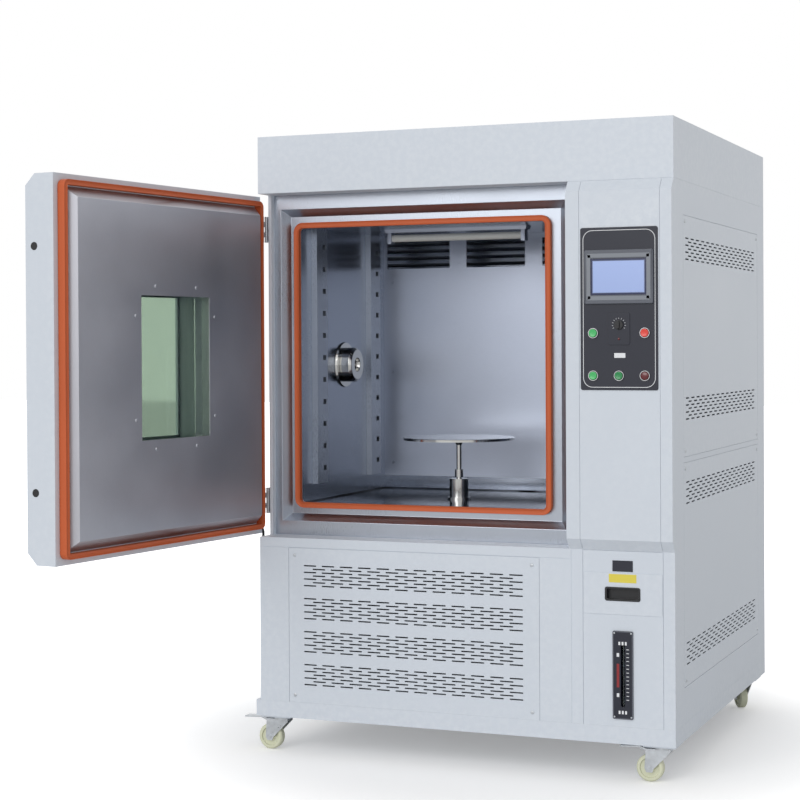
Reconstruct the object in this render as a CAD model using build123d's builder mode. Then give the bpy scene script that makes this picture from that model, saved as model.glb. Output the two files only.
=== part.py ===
from build123d import *
from copy import copy
from math import cos, radians, sin
import os

# Overall sizes of the cabinet, in millimetres. X runs right, Y runs into the cabinet, Z runs up.
CABINET_WIDTH = 1240
CABINET_DEPTH = 1220
TOTAL_HEIGHT = 1800
CASTER_HEIGHT = 105
SKIRT_HEIGHT = 47
SKIRT_OVERHANG = 14
FRAME_FLANGE = 110
HOOD_HEIGHT = 166
LEDGE_HEIGHT = 630
HOOD_LIP = 60

# Sheet metal
SHELL_WALL = 4
PANEL_SHEET = 2
STEEL_SHEET = 2
SEAM_GAP = 1
LEDGE_WIDTH = 12
FIT_GAP = 0.3
RUN_GAP = 0.1

# Control column and its covers
COLUMN_LEFT = 325
COLUMN_PROUD = 25
COLUMN_CHAMFER = 30
COLUMN_SHEET = 5
COVER_MARGIN_LEFT = 39
COVER_MARGIN_RIGHT = 33

# Recess that takes the door
RECESS_DEPTH = 90
POST_WIDTH = 10
POST_SETBACK = 68
RECESS_MARGIN_LEFT = 31
RECESS_MARGIN_RIGHT = 36
RECESS_MARGIN_TOP = 42
RECESS_MARGIN_BOTTOM = 41
STEP_DEPTH = 30
STEP_RUN = 20

# Test chamber
MOUTH_MARGIN_LEFT = 82
MOUTH_MARGIN_RIGHT = 99
MOUTH_MARGIN_TOP = 97
MOUTH_MARGIN_BOTTOM = 95
LINER_LAP = 8
LINER_DEPTH = 780
FAN_SPACE = 125
GASKET_WIDTH = 16
GASKET_HEIGHT = 18
GASKET_CORNER = 28

# Door, swung open about a vertical hinge axis
DOOR_OPEN_ANGLE = 97
HINGE_OUTSET = 12
HINGE_SETBACK = 80
DOOR_GAP = 3
DOOR_EDGE_GAP = 4
DOOR_POST_GAP = 2
DOOR_GASKET_INSET = 16
DOOR_GASKET_WIDTH = 14
DOOR_GASKET_CORNER = 18
DOOR_STEP_INSET = 32
DOOR_STEP_RUN = 21
DOOR_STEP_RISE = 28
WINDOW_WIDTH = 312
WINDOW_HEIGHT = 388
WINDOW_SHIFT = 6
WINDOW_REBATE = 8
WINDOW_LIP = 8
GLASS_THICKNESS = 5
PANE_COUNT = 3
WINDOW_SCREW_OUTSET = 25
WINDOW_SCREW_SPREAD = 93
WINDOW_SCREW_RISE = 139

# Hinges and latch
HINGE_HEIGHT = 76
HINGE_MARGIN = 97
KNUCKLE_RADIUS = 6
KNUCKLE_COUNT = 5
HINGE_PLATE = 3
HINGE_PLATE_WIDTH = 34
BOLT_RADIUS = 10
BOLT_MARGIN = 185
BOLT_LENGTH = 60
BOLT_TRAVEL = 12
BOLT_SETBACK = 28
BOLT_PROUD = 1
LEVER_BACKSET = 70
LEVER_LENGTH = 130
LEVER_WIDTH = 24
LEVER_RISE = 32
LEVER_THICKNESS = 14

# Ventilation slots
GRILLE_MARGIN_LEFT = 94
GRILLE_MARGIN_RIGHT = 87
GRILLE_HEIGHT = 449
SLOT_ROWS = 7
SLOT_ROW_PITCH = 9.5
SLOT_HEIGHT = 4
GRILLE_BLOCKS = 4
GRILLE_BLOCK_PITCH = 95.8
GRILLE_FIRST_BLOCK = 82
GRILLE_SLOT_PITCH = 182
GRILLE_SLOT_LENGTH = 125
SIDE_SLOT_PITCH = 191
SIDE_SLOT_LENGTH = 130
SIDE_PANEL_INSET = 105
SIDE_PANEL_MARGIN_REAR = 108
SIDE_PANEL_GAP = 17
UPPER_PANEL_BOTTOM = 880
UPPER_PANEL_MARGIN = 94
LOWER_PANEL_BOTTOM = 250
UPPER_BLOCK_INSETS = (131, 90)
LOWER_BLOCK_INSETS = (88, 83)
SCREW_INSET = 16
GRILLE_SCREW_INSET = 21
SCREW_HEAD_RADIUS = 5
SCREW_SIDES = 12
SCREW_HEAD_HEIGHT = 2

# Control panel
PANEL_MARGIN_TOP = 130
PANEL_HEIGHT = 439
PANEL_MARGIN = 4
PANEL_CORNER = 6
PANEL_THICKNESS = 2
HMI_WIDTH = 192
HMI_HEIGHT = 147
HMI_RISE = 232
HMI_PROUD = 6
HMI_BODY_DEPTH = 36
SCREEN_WIDTH = 155
SCREEN_HEIGHT = 98
BUTTON_SPREAD = 71.5
BUTTON_ROW_LOW = 39
BUTTON_ROW_HIGH = 154
BEZEL_RADIUS = 14.5
BEZEL_HEIGHT = 5
BUTTON_RADIUS = 11
BUTTON_PROUD = 4
BUTTON_TRAVEL = 3
BUTTON_BODY_DEPTH = 20
LIMITER_WIDTH = 60
LIMITER_HEIGHT = 87
LIMITER_RISE = 122
LIMITER_PROUD = 2
KNOB_RADIUS = 13
KNOB_HEIGHT = 10
KNOB_RISE = 176
KNOB_STEM_RADIUS = 3

# Drawer and level gauge in the lower cover
DRAWER_RISE = 304
DRAWER_HEIGHT = 113
DRAWER_MARGIN = 2
DRAWER_FRONT = 2
DRAWER_DEPTH = 400
DRAWER_WALL = 2
DRAWER_SIDE_GAP = 12
HANDLE_WIDTH = 99
HANDLE_HEIGHT = 38
HANDLE_RISE = 37
HANDLE_DEPTH = 14
GAUGE_WIDTH = 57
GAUGE_HEIGHT = 239
GAUGE_RISE = 21
GAUGE_PLATE = 3
GAUGE_SLOT_WIDTH = 12
GAUGE_SLOT_HEIGHT = 174
GAUGE_TUBE_RADIUS = 5

# Fittings in the chamber
RAIL_WIDTH = 75
RAIL_PROJECTION = 18
RAIL_FRONT = 90
RAIL_MARGIN_BACK = 78
RAIL_BOTTOM_RISE = 55
RAIL_SLOT_PITCH = 67
RAIL_SLOT_WIDTH = 22
RAIL_SLOT_HEIGHT = 15
RAIL_SLOT_INSET = 52
RAIL_FIRST_SLOT = 46
PORT_DEPTH = 330
PORT_DROP = 3
PORT_BORE_RADIUS = 45
PORT_TUBE_WALL = 5
PORT_FLANGE_RADIUS = 71
PORT_FLANGE_THICKNESS = 6
PORT_OUTER_RADIUS = 62
PLUG_CAP_RADIUS = 53.5
PLUG_CAP_LENGTH = 39
PLUG_SPIGOT_LENGTH = 60
OUTLET_MARGIN = 14
OUTLET_HEIGHT = 91
OUTLET_BAR_WIDTH = 58
OUTLET_BAR_OFFSET = 129
LOUVRE_COUNT = 4
RETURN_GAP = 44
BAFFLE_SCREW_INSET = 29
PAN_GAP = 10
PAN_RIM = 18
DISC_RADIUS = 170
DISC_THICKNESS = 8
DISC_RISE = 191
DISC_DEPTH = 310
SHAFT_RADIUS = 8
COLLAR_RADIUS = 13
COLLAR_HEIGHT = 24
HOUSING_RADIUS = 29.5
HOUSING_FOOT_RADIUS = 36
HOUSING_FOOT_HEIGHT = 8
HOUSING_RISE = 65
LAMP_LENGTH = 420
LAMP_RADIUS = 11
LAMP_DEPTH = 300
LAMP_BASE_OVERHANG = 20
LAMP_BASE_WIDTH = 44
LAMP_BASE_THICKNESS = 10
LAMP_HOLDER = 12
LAMP_HOLDER_WIDTH = 30
LAMP_GAP = 6
FAN_RADIUS = 100
FAN_WIDTH = 45
FAN_BLADES = 12
FAN_BLADE_LENGTH = 36
FAN_HUB_RADIUS = 18
FAN_RISE = 18
FAN_STANDOFF = 40
FAN_MOTOR_RADIUS = 55
FAN_MOTOR_LENGTH = 110
FAN_SHAFT_RADIUS = 7

# Casters
CASTER_INSET_X = 47
CASTER_INSET_FRONT = 50
CASTER_INSET_REAR = 105
CASTER_PLATE = 90
CASTER_PLATE_THICKNESS = 4
WHEEL_RADIUS = 37.5
WHEEL_WIDTH = 26
CASTER_TRAIL = 35
KINGPIN_RADIUS = 6
FORK_SHEET = 3
AXLE_RADIUS = 5
PEDAL_LENGTH = 80
PEDAL_WIDTH = 28
PEDAL_PIVOT_RISE = 47
PEDAL_PIVOT_BACK = 3
FORK_PLATE_RADIUS = 26

# Cable and connections
CABLE_RADIUS = 4
GLAND_RADIUS = 9
GLAND_LENGTH = 14
DOOR_GLAND_V = -36
DOOR_GLAND_RISE = 17
CABLE_WALL_DEPTH = 108
CABLE_WALL_HEIGHT = 557
MAINS_GLAND_RADIUS = 14
MAINS_GLAND_BORE = 6
MAINS_GLAND_MARGIN = 170
MAINS_GLAND_HEIGHT = 320

# Places worked out from the sizes
LEFT = -CABINET_WIDTH / 2
RIGHT = CABINET_WIDTH / 2
FRONT = -CABINET_DEPTH / 2
REAR = CABINET_DEPTH / 2
BODY_BOTTOM = CASTER_HEIGHT + SKIRT_HEIGHT
BODY_TOP = TOTAL_HEIGHT - HOOD_HEIGHT
MIDDLE = (BODY_TOP + LEDGE_HEIGHT) / 2
COVER_LEFT = COLUMN_LEFT + COVER_MARGIN_LEFT
COVER_RIGHT = RIGHT - COVER_MARGIN_RIGHT
COVER_WIDTH = COVER_RIGHT - COVER_LEFT
COVER_CENTRE = (COVER_LEFT + COVER_RIGHT) / 2
STEP_TOP_LEFT = LEFT + RECESS_MARGIN_LEFT
STEP_TOP_RIGHT = COLUMN_LEFT - RECESS_MARGIN_RIGHT
STEP_LOW = LEDGE_HEIGHT + RECESS_MARGIN_BOTTOM
STEP_HIGH = BODY_TOP - RECESS_MARGIN_TOP
SEAT_FACE = FRONT + RECESS_DEPTH
INNER_FACE = SEAT_FACE + STEP_DEPTH
MOUTH_LEFT = LEFT + MOUTH_MARGIN_LEFT
MOUTH_RIGHT = COLUMN_LEFT - MOUTH_MARGIN_RIGHT
MOUTH_BOTTOM = LEDGE_HEIGHT + MOUTH_MARGIN_BOTTOM
MOUTH_TOP = BODY_TOP - MOUTH_MARGIN_TOP
LINER_LEFT = MOUTH_LEFT - LINER_LAP
LINER_RIGHT = MOUTH_RIGHT + LINER_LAP
LINER_BOTTOM = MOUTH_BOTTOM - LINER_LAP
LINER_TOP = MOUTH_TOP + LINER_LAP
LINER_FRONT = INNER_FACE + STEEL_SHEET
LINER_BACK = LINER_FRONT + LINER_DEPTH
BAFFLE_FACE = INNER_FACE + LINER_DEPTH - FAN_SPACE
CHAMBER_CENTRE = (MOUTH_LEFT + MOUTH_RIGHT) / 2
HINGE_X = LEFT - HINGE_OUTSET
HINGE_Y = FRONT + HINGE_SETBACK
DOOR_U0 = HINGE_OUTSET
DOOR_U1 = COLUMN_LEFT - DOOR_EDGE_GAP - HINGE_X
DOOR_LOW = LEDGE_HEIGHT + DOOR_GAP
DOOR_HIGH = BODY_TOP - DOOR_GAP
DOOR_INNER_V = POST_SETBACK - DOOR_POST_GAP - HINGE_SETBACK
DOOR_OUTER_V = -COLUMN_PROUD - HINGE_SETBACK
DOOR_STEP_V = RECESS_DEPTH + STEP_DEPTH - GASKET_HEIGHT - FIT_GAP - HINGE_SETBACK
DOOR_GASKET_V = RECESS_DEPTH - FIT_GAP - HINGE_SETBACK
WINDOW_U = CHAMBER_CENTRE + WINDOW_SHIFT - HINGE_X
LOWER_COVER_TOP = LEDGE_HEIGHT - PANEL_SHEET
GRILLE_LEFT = LEFT + GRILLE_MARGIN_LEFT
GRILLE_RIGHT = COLUMN_LEFT - GRILLE_MARGIN_RIGHT
GRILLE_WIDTH = GRILLE_RIGHT - GRILLE_LEFT
GRILLE_TOP = BODY_BOTTOM + GRILLE_HEIGHT
SIDE_PANEL_LENGTH = CABINET_DEPTH - SIDE_PANEL_INSET - SIDE_PANEL_MARGIN_REAR
UPPER_PANEL_TOP = BODY_TOP - UPPER_PANEL_MARGIN
LOWER_PANEL_TOP = UPPER_PANEL_BOTTOM - SIDE_PANEL_GAP
SIDE_PANELS = ((UPPER_PANEL_BOTTOM, UPPER_PANEL_TOP), (LOWER_PANEL_BOTTOM, LOWER_PANEL_TOP))
DOOR_HALF_HEIGHT = (DOOR_HIGH - DOOR_LOW) / 2
BOLT_SPREAD = DOOR_HALF_HEIGHT - BOLT_MARGIN
HINGE_OFFSET = DOOR_HALF_HEIGHT - HINGE_MARGIN
PANEL_BOTTOM = BODY_TOP - PANEL_MARGIN_TOP - PANEL_HEIGHT
PORT_HEIGHT = MIDDLE - PORT_DROP
FAN_HEIGHT = MIDDLE + FAN_RISE
OUTLET_BOTTOM = LINER_TOP - OUTLET_MARGIN - OUTLET_HEIGHT
DISC_TOP = LINER_BOTTOM + DISC_RISE
HOUSING_TOP = LINER_BOTTOM + HOUSING_RISE
MAINS_GLAND_X = RIGHT - MAINS_GLAND_MARGIN


def front_plane(y):
    """Plane across the cabinet at depth y, seen from the front."""
    return Plane((0, y, 0), x_dir=(1, 0, 0), z_dir=(0, -1, 0))


def side_plane(x):
    """Plane along the cabinet at x, seen from the right."""
    return Plane((x, 0, 0), x_dir=(0, 1, 0), z_dir=(1, 0, 0))


def door_point(u, v, z=0):
    """Place in the open door: u along its width from the hinge axis, v through its thickness."""
    turn = radians(DOOR_OPEN_ANGLE)
    return (
        HINGE_X + u * cos(turn) + v * sin(turn),
        HINGE_Y - u * sin(turn) + v * cos(turn),
        z,
    )


def door_direction(u, v):
    """Direction in the open door."""
    turn = radians(DOOR_OPEN_ANGLE)
    return (u * cos(turn) + v * sin(turn), -u * sin(turn) + v * cos(turn), 0)


def door_face(v):
    """Plane across the door at v, seen from its outside."""
    return Plane(door_point(0, v), x_dir=door_direction(1, 0), z_dir=door_direction(0, -1))


def door_side(u):
    """Plane through the door's thickness at u, seen from its free edge."""
    return Plane(door_point(u, 0), x_dir=door_direction(0, 1), z_dir=door_direction(1, 0))


def door_level(z):
    """Level plane at height z that turns with the door."""
    return Plane(door_point(0, 0, z), x_dir=door_direction(1, 0), z_dir=(0, 0, 1))


def pane(across, up, mode=Mode.ADD):
    """Rectangle between two pairs of limits in the sketch."""
    with Locations(((across[0] + across[1]) / 2, (up[0] + up[1]) / 2)):
        Rectangle(across[1] - across[0], up[1] - up[0], mode=mode)


def soft_pane(across, up, radius, mode=Mode.ADD):
    """Rectangle with round corners between two pairs of limits in the sketch."""
    with Locations(((across[0] + across[1]) / 2, (up[0] + up[1]) / 2)):
        RectangleRounded(across[1] - across[0], up[1] - up[0], radius, mode=mode)


def block(x, y, z, mode=Mode.ADD):
    """Block between three pairs of limits."""
    with Locations(((x[0] + x[1]) / 2, (y[0] + y[1]) / 2, (z[0] + z[1]) / 2)):
        Box(x[1] - x[0], y[1] - y[0], z[1] - z[0], mode=mode)


def slot_rows(centre, slots, pitch, length):
    """Rows of slots, every second row half a pitch aside and one slot shorter."""
    for row in range(SLOT_ROWS):
        count = slots - row % 2
        rise = centre[1] + (row - (SLOT_ROWS - 1) / 2) * SLOT_ROW_PITCH
        with Locations((centre[0], rise)):
            with GridLocations(pitch, 0, count, 1):
                Rectangle(length, SLOT_HEIGHT, mode=Mode.SUBTRACT)


CASTER_PLACES = [
    (LEFT + CASTER_INSET_X, FRONT + CASTER_INSET_FRONT),
    (RIGHT - CASTER_INSET_X, FRONT + CASTER_INSET_FRONT),
    (LEFT + CASTER_INSET_X, REAR - CASTER_INSET_REAR),
    (RIGHT - CASTER_INSET_X, REAR - CASTER_INSET_REAR),
]

# Base frame with skirt, floor plate and caster plates
with BuildPart() as base_frame:
    skirt = ((LEFT - SKIRT_OVERHANG, RIGHT), (FRONT, REAR))
    with BuildSketch(Plane.XY.offset(CASTER_HEIGHT)):
        pane(*skirt)
    extrude(amount=SKIRT_HEIGHT)
    with BuildSketch(Plane.XY.offset(CASTER_HEIGHT + SHELL_WALL)):
        pane(*skirt)
        offset(amount=-SHELL_WALL, mode=Mode.REPLACE)
    extrude(amount=SKIRT_HEIGHT - 2 * SHELL_WALL, mode=Mode.SUBTRACT)
    with BuildSketch(Plane.XY.offset(CASTER_HEIGHT)):
        pane(*skirt)
        offset(amount=-FRAME_FLANGE, kind=Kind.INTERSECTION, mode=Mode.REPLACE)
    extrude(amount=SHELL_WALL, mode=Mode.SUBTRACT)
    with BuildSketch(Plane.XY.offset(CASTER_HEIGHT - CASTER_PLATE_THICKNESS)):
        with Locations(*CASTER_PLACES):
            Rectangle(CASTER_PLATE, CASTER_PLATE)
    extrude(amount=CASTER_PLATE_THICKNESS)
    with BuildSketch(Plane.XY.offset(CASTER_HEIGHT - CASTER_PLATE_THICKNESS)):
        with Locations(*CASTER_PLACES):
            Circle(KINGPIN_RADIUS + RUN_GAP)
    extrude(amount=CASTER_PLATE_THICKNESS + SHELL_WALL, mode=Mode.SUBTRACT)

# Painted carcass: walls, ledge, hinge post and openings with seats for the panels
with BuildPart() as cabinet_shell:
    with BuildSketch(Plane.XY.offset(BODY_BOTTOM)):
        pane((LEFT, RIGHT), (FRONT, REAR))
        pane((LEFT + SHELL_WALL, RIGHT - SHELL_WALL), (FRONT + SHELL_WALL, REAR - SHELL_WALL), Mode.SUBTRACT)
    extrude(amount=BODY_TOP - BODY_BOTTOM)
    block((LEFT, RIGHT - SHELL_WALL), (FRONT, FRONT + SHELL_WALL), (LEDGE_HEIGHT, BODY_TOP), Mode.SUBTRACT)
    block((RIGHT - SHELL_WALL, RIGHT), (FRONT, FRONT + PANEL_SHEET), (LEDGE_HEIGHT, BODY_TOP), Mode.SUBTRACT)
    block((LEFT, LEFT + SHELL_WALL), (FRONT, FRONT + POST_SETBACK), (LEDGE_HEIGHT, BODY_TOP), Mode.SUBTRACT)
    block((LEFT, LEFT + POST_WIDTH), (FRONT + POST_SETBACK, SEAT_FACE), (LEDGE_HEIGHT, BODY_TOP))
    block((LEFT, RIGHT), (FRONT, SEAT_FACE + STEEL_SHEET), (LEDGE_HEIGHT - SHELL_WALL, LEDGE_HEIGHT))
    for bottom, top in SIDE_PANELS:
        side_a = FRONT + SIDE_PANEL_INSET
        side_b = side_a + SIDE_PANEL_LENGTH
        with BuildSketch(side_plane(RIGHT)):
            pane((side_a - SEAM_GAP, side_b + SEAM_GAP), (bottom - SEAM_GAP, top + SEAM_GAP))
        extrude(amount=-PANEL_SHEET, mode=Mode.SUBTRACT)
        with BuildSketch(side_plane(RIGHT)):
            pane((side_a + LEDGE_WIDTH, side_b - LEDGE_WIDTH), (bottom + LEDGE_WIDTH, top - LEDGE_WIDTH))
        extrude(amount=-SHELL_WALL, mode=Mode.SUBTRACT)
    for left, right, top in (
        (GRILLE_LEFT, GRILLE_RIGHT, GRILLE_TOP),
        (COVER_LEFT, COVER_RIGHT, LOWER_COVER_TOP),
    ):
        with BuildSketch(front_plane(FRONT)):
            pane((left - SEAM_GAP, right + SEAM_GAP), (BODY_BOTTOM, top + SEAM_GAP))
        extrude(amount=-PANEL_SHEET, mode=Mode.SUBTRACT)
        with BuildSketch(front_plane(FRONT)):
            pane((left + LEDGE_WIDTH, right - LEDGE_WIDTH), (BODY_BOTTOM + LEDGE_WIDTH, top - LEDGE_WIDTH))
        extrude(amount=-SHELL_WALL, mode=Mode.SUBTRACT)
    block(
        (LEFT + LEDGE_WIDTH, COLUMN_LEFT),
        (FRONT, FRONT + SEAM_GAP),
        (GRILLE_TOP, GRILLE_TOP + 2 * SEAM_GAP),
        Mode.SUBTRACT,
    )
    block(
        (COLUMN_LEFT + COLUMN_SHEET, COLUMN_LEFT + COLUMN_SHEET + 2 * SEAM_GAP),
        (FRONT, FRONT + SEAM_GAP),
        (BODY_BOTTOM, LEDGE_HEIGHT - SHELL_WALL),
        Mode.SUBTRACT,
    )
    with BuildSketch(side_plane(LEFT)):
        with Locations((INNER_FACE + PORT_DEPTH, PORT_HEIGHT)):
            Circle(PORT_BORE_RADIUS + PORT_TUBE_WALL + FIT_GAP)
        with Locations((FRONT + CABLE_WALL_DEPTH, CABLE_WALL_HEIGHT)):
            Circle(CABLE_RADIUS + FIT_GAP)
    extrude(amount=SHELL_WALL, mode=Mode.SUBTRACT)
    with BuildSketch(front_plane(REAR)):
        with Locations((MAINS_GLAND_X, MAINS_GLAND_HEIGHT)):
            Circle(MAINS_GLAND_BORE + FIT_GAP)
    extrude(amount=SHELL_WALL, mode=Mode.SUBTRACT)

# Hood: an inverted tray whose inner lip lies on the carcass and closes the recess from above
with BuildPart() as top_hood:
    with BuildSketch(Plane.XY.offset(BODY_TOP)):
        pane((LEFT, RIGHT), (FRONT, REAR))
    extrude(amount=HOOD_HEIGHT)
    with BuildSketch(Plane.XY.offset(BODY_TOP + PANEL_SHEET)):
        pane((LEFT + PANEL_SHEET, RIGHT - PANEL_SHEET), (FRONT + PANEL_SHEET, REAR - PANEL_SHEET))
    extrude(amount=HOOD_HEIGHT - 2 * PANEL_SHEET, mode=Mode.SUBTRACT)
    with BuildSketch(Plane.XY.offset(BODY_TOP)):
        pane((LEFT + HOOD_LIP, RIGHT - HOOD_LIP), (INNER_FACE + STEEL_SHEET, REAR - HOOD_LIP))
    extrude(amount=PANEL_SHEET, mode=Mode.SUBTRACT)


def column_outline(back):
    """Side outline of the column, chamfered at the top and bottom of its proud front."""
    Polygon(
        (FRONT + back, LEDGE_HEIGHT),
        (FRONT, LEDGE_HEIGHT),
        (FRONT - COLUMN_PROUD, LEDGE_HEIGHT + COLUMN_CHAMFER),
        (FRONT - COLUMN_PROUD, BODY_TOP - COLUMN_CHAMFER),
        (FRONT, BODY_TOP),
        (FRONT + back, BODY_TOP),
        align=None,
    )


# Control column: a proud chamfered tray with a seat for its cover and a cheek beside the door
with BuildPart() as control_column:
    with BuildSketch(side_plane(COLUMN_LEFT)):
        column_outline(PANEL_SHEET)
    extrude(amount=RIGHT - COLUMN_LEFT)
    with BuildSketch(side_plane(COLUMN_LEFT + COLUMN_SHEET)):
        column_outline(COLUMN_PROUD)
        offset(amount=-COLUMN_SHEET, kind=Kind.INTERSECTION, mode=Mode.REPLACE)
    extrude(amount=RIGHT - COLUMN_LEFT - 2 * COLUMN_SHEET, mode=Mode.SUBTRACT)
    with BuildSketch(side_plane(COVER_LEFT - SEAM_GAP)):
        column_outline(COLUMN_PROUD)
        offset(amount=-PANEL_SHEET, kind=Kind.INTERSECTION, mode=Mode.SUBTRACT)
        pane((FRONT, REAR), (LEDGE_HEIGHT, BODY_TOP), Mode.SUBTRACT)
    extrude(amount=COVER_WIDTH + 2 * SEAM_GAP, mode=Mode.SUBTRACT)
    with BuildSketch(front_plane(FRONT - COLUMN_PROUD)):
        pane(
            (COVER_LEFT + LEDGE_WIDTH, COVER_RIGHT - LEDGE_WIDTH),
            (LEDGE_HEIGHT + COLUMN_CHAMFER + LEDGE_WIDTH, BODY_TOP - COLUMN_CHAMFER - LEDGE_WIDTH),
        )
    extrude(amount=-COLUMN_PROUD, mode=Mode.SUBTRACT)
    block((COLUMN_LEFT, COLUMN_LEFT + STEEL_SHEET), (FRONT, SEAT_FACE + STEEL_SHEET), (LEDGE_HEIGHT, BODY_TOP))
    with BuildSketch(side_plane(COLUMN_LEFT)):
        with Locations((HINGE_Y + DOOR_OUTER_V + BOLT_SETBACK, MIDDLE)):
            with GridLocations(0, 2 * BOLT_SPREAD, 1, 2):
                Circle(BOLT_RADIUS + 2)
    extrude(amount=COLUMN_SHEET, mode=Mode.SUBTRACT)

PANEL_FACE = FRONT - COLUMN_PROUD
PANEL_LEFT = COVER_LEFT + PANEL_MARGIN
PANEL_RIGHT = COVER_RIGHT - PANEL_MARGIN
PANEL_TOP = PANEL_BOTTOM + PANEL_HEIGHT
PANEL_FRONT = PANEL_FACE - PANEL_THICKNESS
HMI_MIDDLE = PANEL_BOTTOM + HMI_RISE + HMI_HEIGHT / 2
HMI_MARGIN = 10
RUN_PLACE = (COVER_CENTRE - BUTTON_SPREAD, PANEL_BOTTOM + BUTTON_ROW_HIGH)
STOP_PLACE = (COVER_CENTRE + BUTTON_SPREAD, PANEL_BOTTOM + BUTTON_ROW_HIGH)
LIGHT_PLACE = (COVER_CENTRE - BUTTON_SPREAD, PANEL_BOTTOM + BUTTON_ROW_LOW)
POWER_PLACE = (COVER_CENTRE, PANEL_BOTTOM + BUTTON_ROW_LOW)
FAULT_PLACE = (COVER_CENTRE + BUTTON_SPREAD, PANEL_BOTTOM + BUTTON_ROW_LOW)
BUTTON_PLACES = [RUN_PLACE, STOP_PLACE, LIGHT_PLACE, POWER_PLACE, FAULT_PLACE]
KNOB_PLACE = (COVER_CENTRE, PANEL_BOTTOM + KNOB_RISE)


def panel_cutouts(mode):
    """Outlines of the operator panel's body, the push-buttons and the knob stem."""
    with Locations((COVER_CENTRE, HMI_MIDDLE)):
        Rectangle(HMI_WIDTH - 2 * HMI_MARGIN + FIT_GAP, HMI_HEIGHT - 2 * HMI_MARGIN + FIT_GAP, mode=mode)
    with Locations(*BUTTON_PLACES):
        Circle(BUTTON_RADIUS + FIT_GAP, mode=mode)
    with Locations(KNOB_PLACE):
        Circle(KNOB_STEM_RADIUS + RUN_GAP, mode=mode)


# Column cover: one bent sheet that follows the chamfers and carries the control panel
with BuildPart() as column_cover:
    with BuildSketch(side_plane(COVER_LEFT)):
        column_outline(COLUMN_PROUD)
        offset(amount=-PANEL_SHEET, kind=Kind.INTERSECTION, mode=Mode.SUBTRACT)
        pane((FRONT, REAR), (LEDGE_HEIGHT, BODY_TOP), Mode.SUBTRACT)
    extrude(amount=COVER_WIDTH)
    with BuildSketch(front_plane(PANEL_FACE)):
        panel_cutouts(Mode.ADD)
    extrude(amount=-PANEL_SHEET, mode=Mode.SUBTRACT)

# Control panel: rounded plate with the raised body of the temperature limiter
with BuildPart() as control_panel:
    with BuildSketch(front_plane(PANEL_FACE)):
        soft_pane((PANEL_LEFT, PANEL_RIGHT), (PANEL_BOTTOM, PANEL_TOP), PANEL_CORNER)
        panel_cutouts(Mode.SUBTRACT)
    extrude(amount=PANEL_THICKNESS)
    with BuildSketch(front_plane(PANEL_FRONT)):
        with Locations((COVER_CENTRE, PANEL_BOTTOM + LIMITER_RISE + LIMITER_HEIGHT / 2)):
            RectangleRounded(LIMITER_WIDTH, LIMITER_HEIGHT, 5)
        with Locations(KNOB_PLACE):
            Circle(KNOB_STEM_RADIUS + RUN_GAP, mode=Mode.SUBTRACT)
    extrude(amount=LIMITER_PROUD)

# Operator panel: bezel with its body behind the cover, and the screen set into it
with BuildPart() as hmi_bezel:
    with BuildSketch(front_plane(PANEL_FRONT)):
        with Locations((COVER_CENTRE, HMI_MIDDLE)):
            RectangleRounded(HMI_WIDTH, HMI_HEIGHT, 5)
    extrude(amount=HMI_PROUD, taper=12)
    with BuildSketch(front_plane(PANEL_FRONT)):
        with Locations((COVER_CENTRE, HMI_MIDDLE)):
            Rectangle(HMI_WIDTH - 2 * HMI_MARGIN, HMI_HEIGHT - 2 * HMI_MARGIN)
    extrude(amount=-HMI_BODY_DEPTH)
    with BuildSketch(front_plane(PANEL_FRONT - HMI_PROUD)):
        with Locations((COVER_CENTRE, HMI_MIDDLE)):
            Rectangle(SCREEN_WIDTH, SCREEN_HEIGHT)
    extrude(amount=-3, mode=Mode.SUBTRACT)

with BuildPart() as hmi_screen:
    with BuildSketch(front_plane(PANEL_FRONT - HMI_PROUD + 3)):
        with Locations((COVER_CENTRE, HMI_MIDDLE)):
            Rectangle(SCREEN_WIDTH - FIT_GAP, SCREEN_HEIGHT - FIT_GAP)
    extrude(amount=2)

# Collars of the push-buttons and the lamp
with BuildPart() as button_bezels:
    with BuildSketch(front_plane(PANEL_FRONT)):
        with Locations(*BUTTON_PLACES):
            Circle(BEZEL_RADIUS)
            Circle(BUTTON_RADIUS + FIT_GAP, mode=Mode.SUBTRACT)
    extrude(amount=BEZEL_HEIGHT, taper=10)


def make_button(place, proud):
    """Push-button cap with a stepped face and the plunger behind it."""
    with BuildPart() as button:
        with BuildSketch(front_plane(PANEL_FRONT - BEZEL_HEIGHT - proud)):
            with Locations(place):
                Circle(BUTTON_RADIUS)
        extrude(amount=-(proud + BEZEL_HEIGHT + BUTTON_BODY_DEPTH))
        chamfer(button.faces().sort_by(Axis.Y)[0].edges(), 1)
    return button.part


run_button = make_button(RUN_PLACE, BUTTON_PROUD)
stop_button = make_button(STOP_PLACE, BUTTON_PROUD)
light_button = make_button(LIGHT_PLACE, BUTTON_PROUD)
power_button = make_button(POWER_PLACE, BUTTON_PROUD)
fault_lamp = make_button(FAULT_PLACE, BUTTON_PROUD - 1)

# Limiter knob with a grip bar across its face
KNOB_SEAT = PANEL_FRONT - LIMITER_PROUD - FIT_GAP
with BuildPart() as limit_knob:
    with BuildSketch(front_plane(KNOB_SEAT)):
        with Locations(KNOB_PLACE):
            Circle(KNOB_RADIUS)
    extrude(amount=KNOB_HEIGHT / 2, taper=8)
    with BuildSketch(front_plane(KNOB_SEAT - KNOB_HEIGHT / 2)):
        with Locations(KNOB_PLACE):
            SlotOverall(2 * KNOB_RADIUS - 4, 7, rotation=90)
    extrude(amount=KNOB_HEIGHT / 2, taper=8)
    with BuildSketch(front_plane(KNOB_SEAT)):
        with Locations(KNOB_PLACE):
            Circle(KNOB_STEM_RADIUS)
    extrude(amount=-20)

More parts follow.
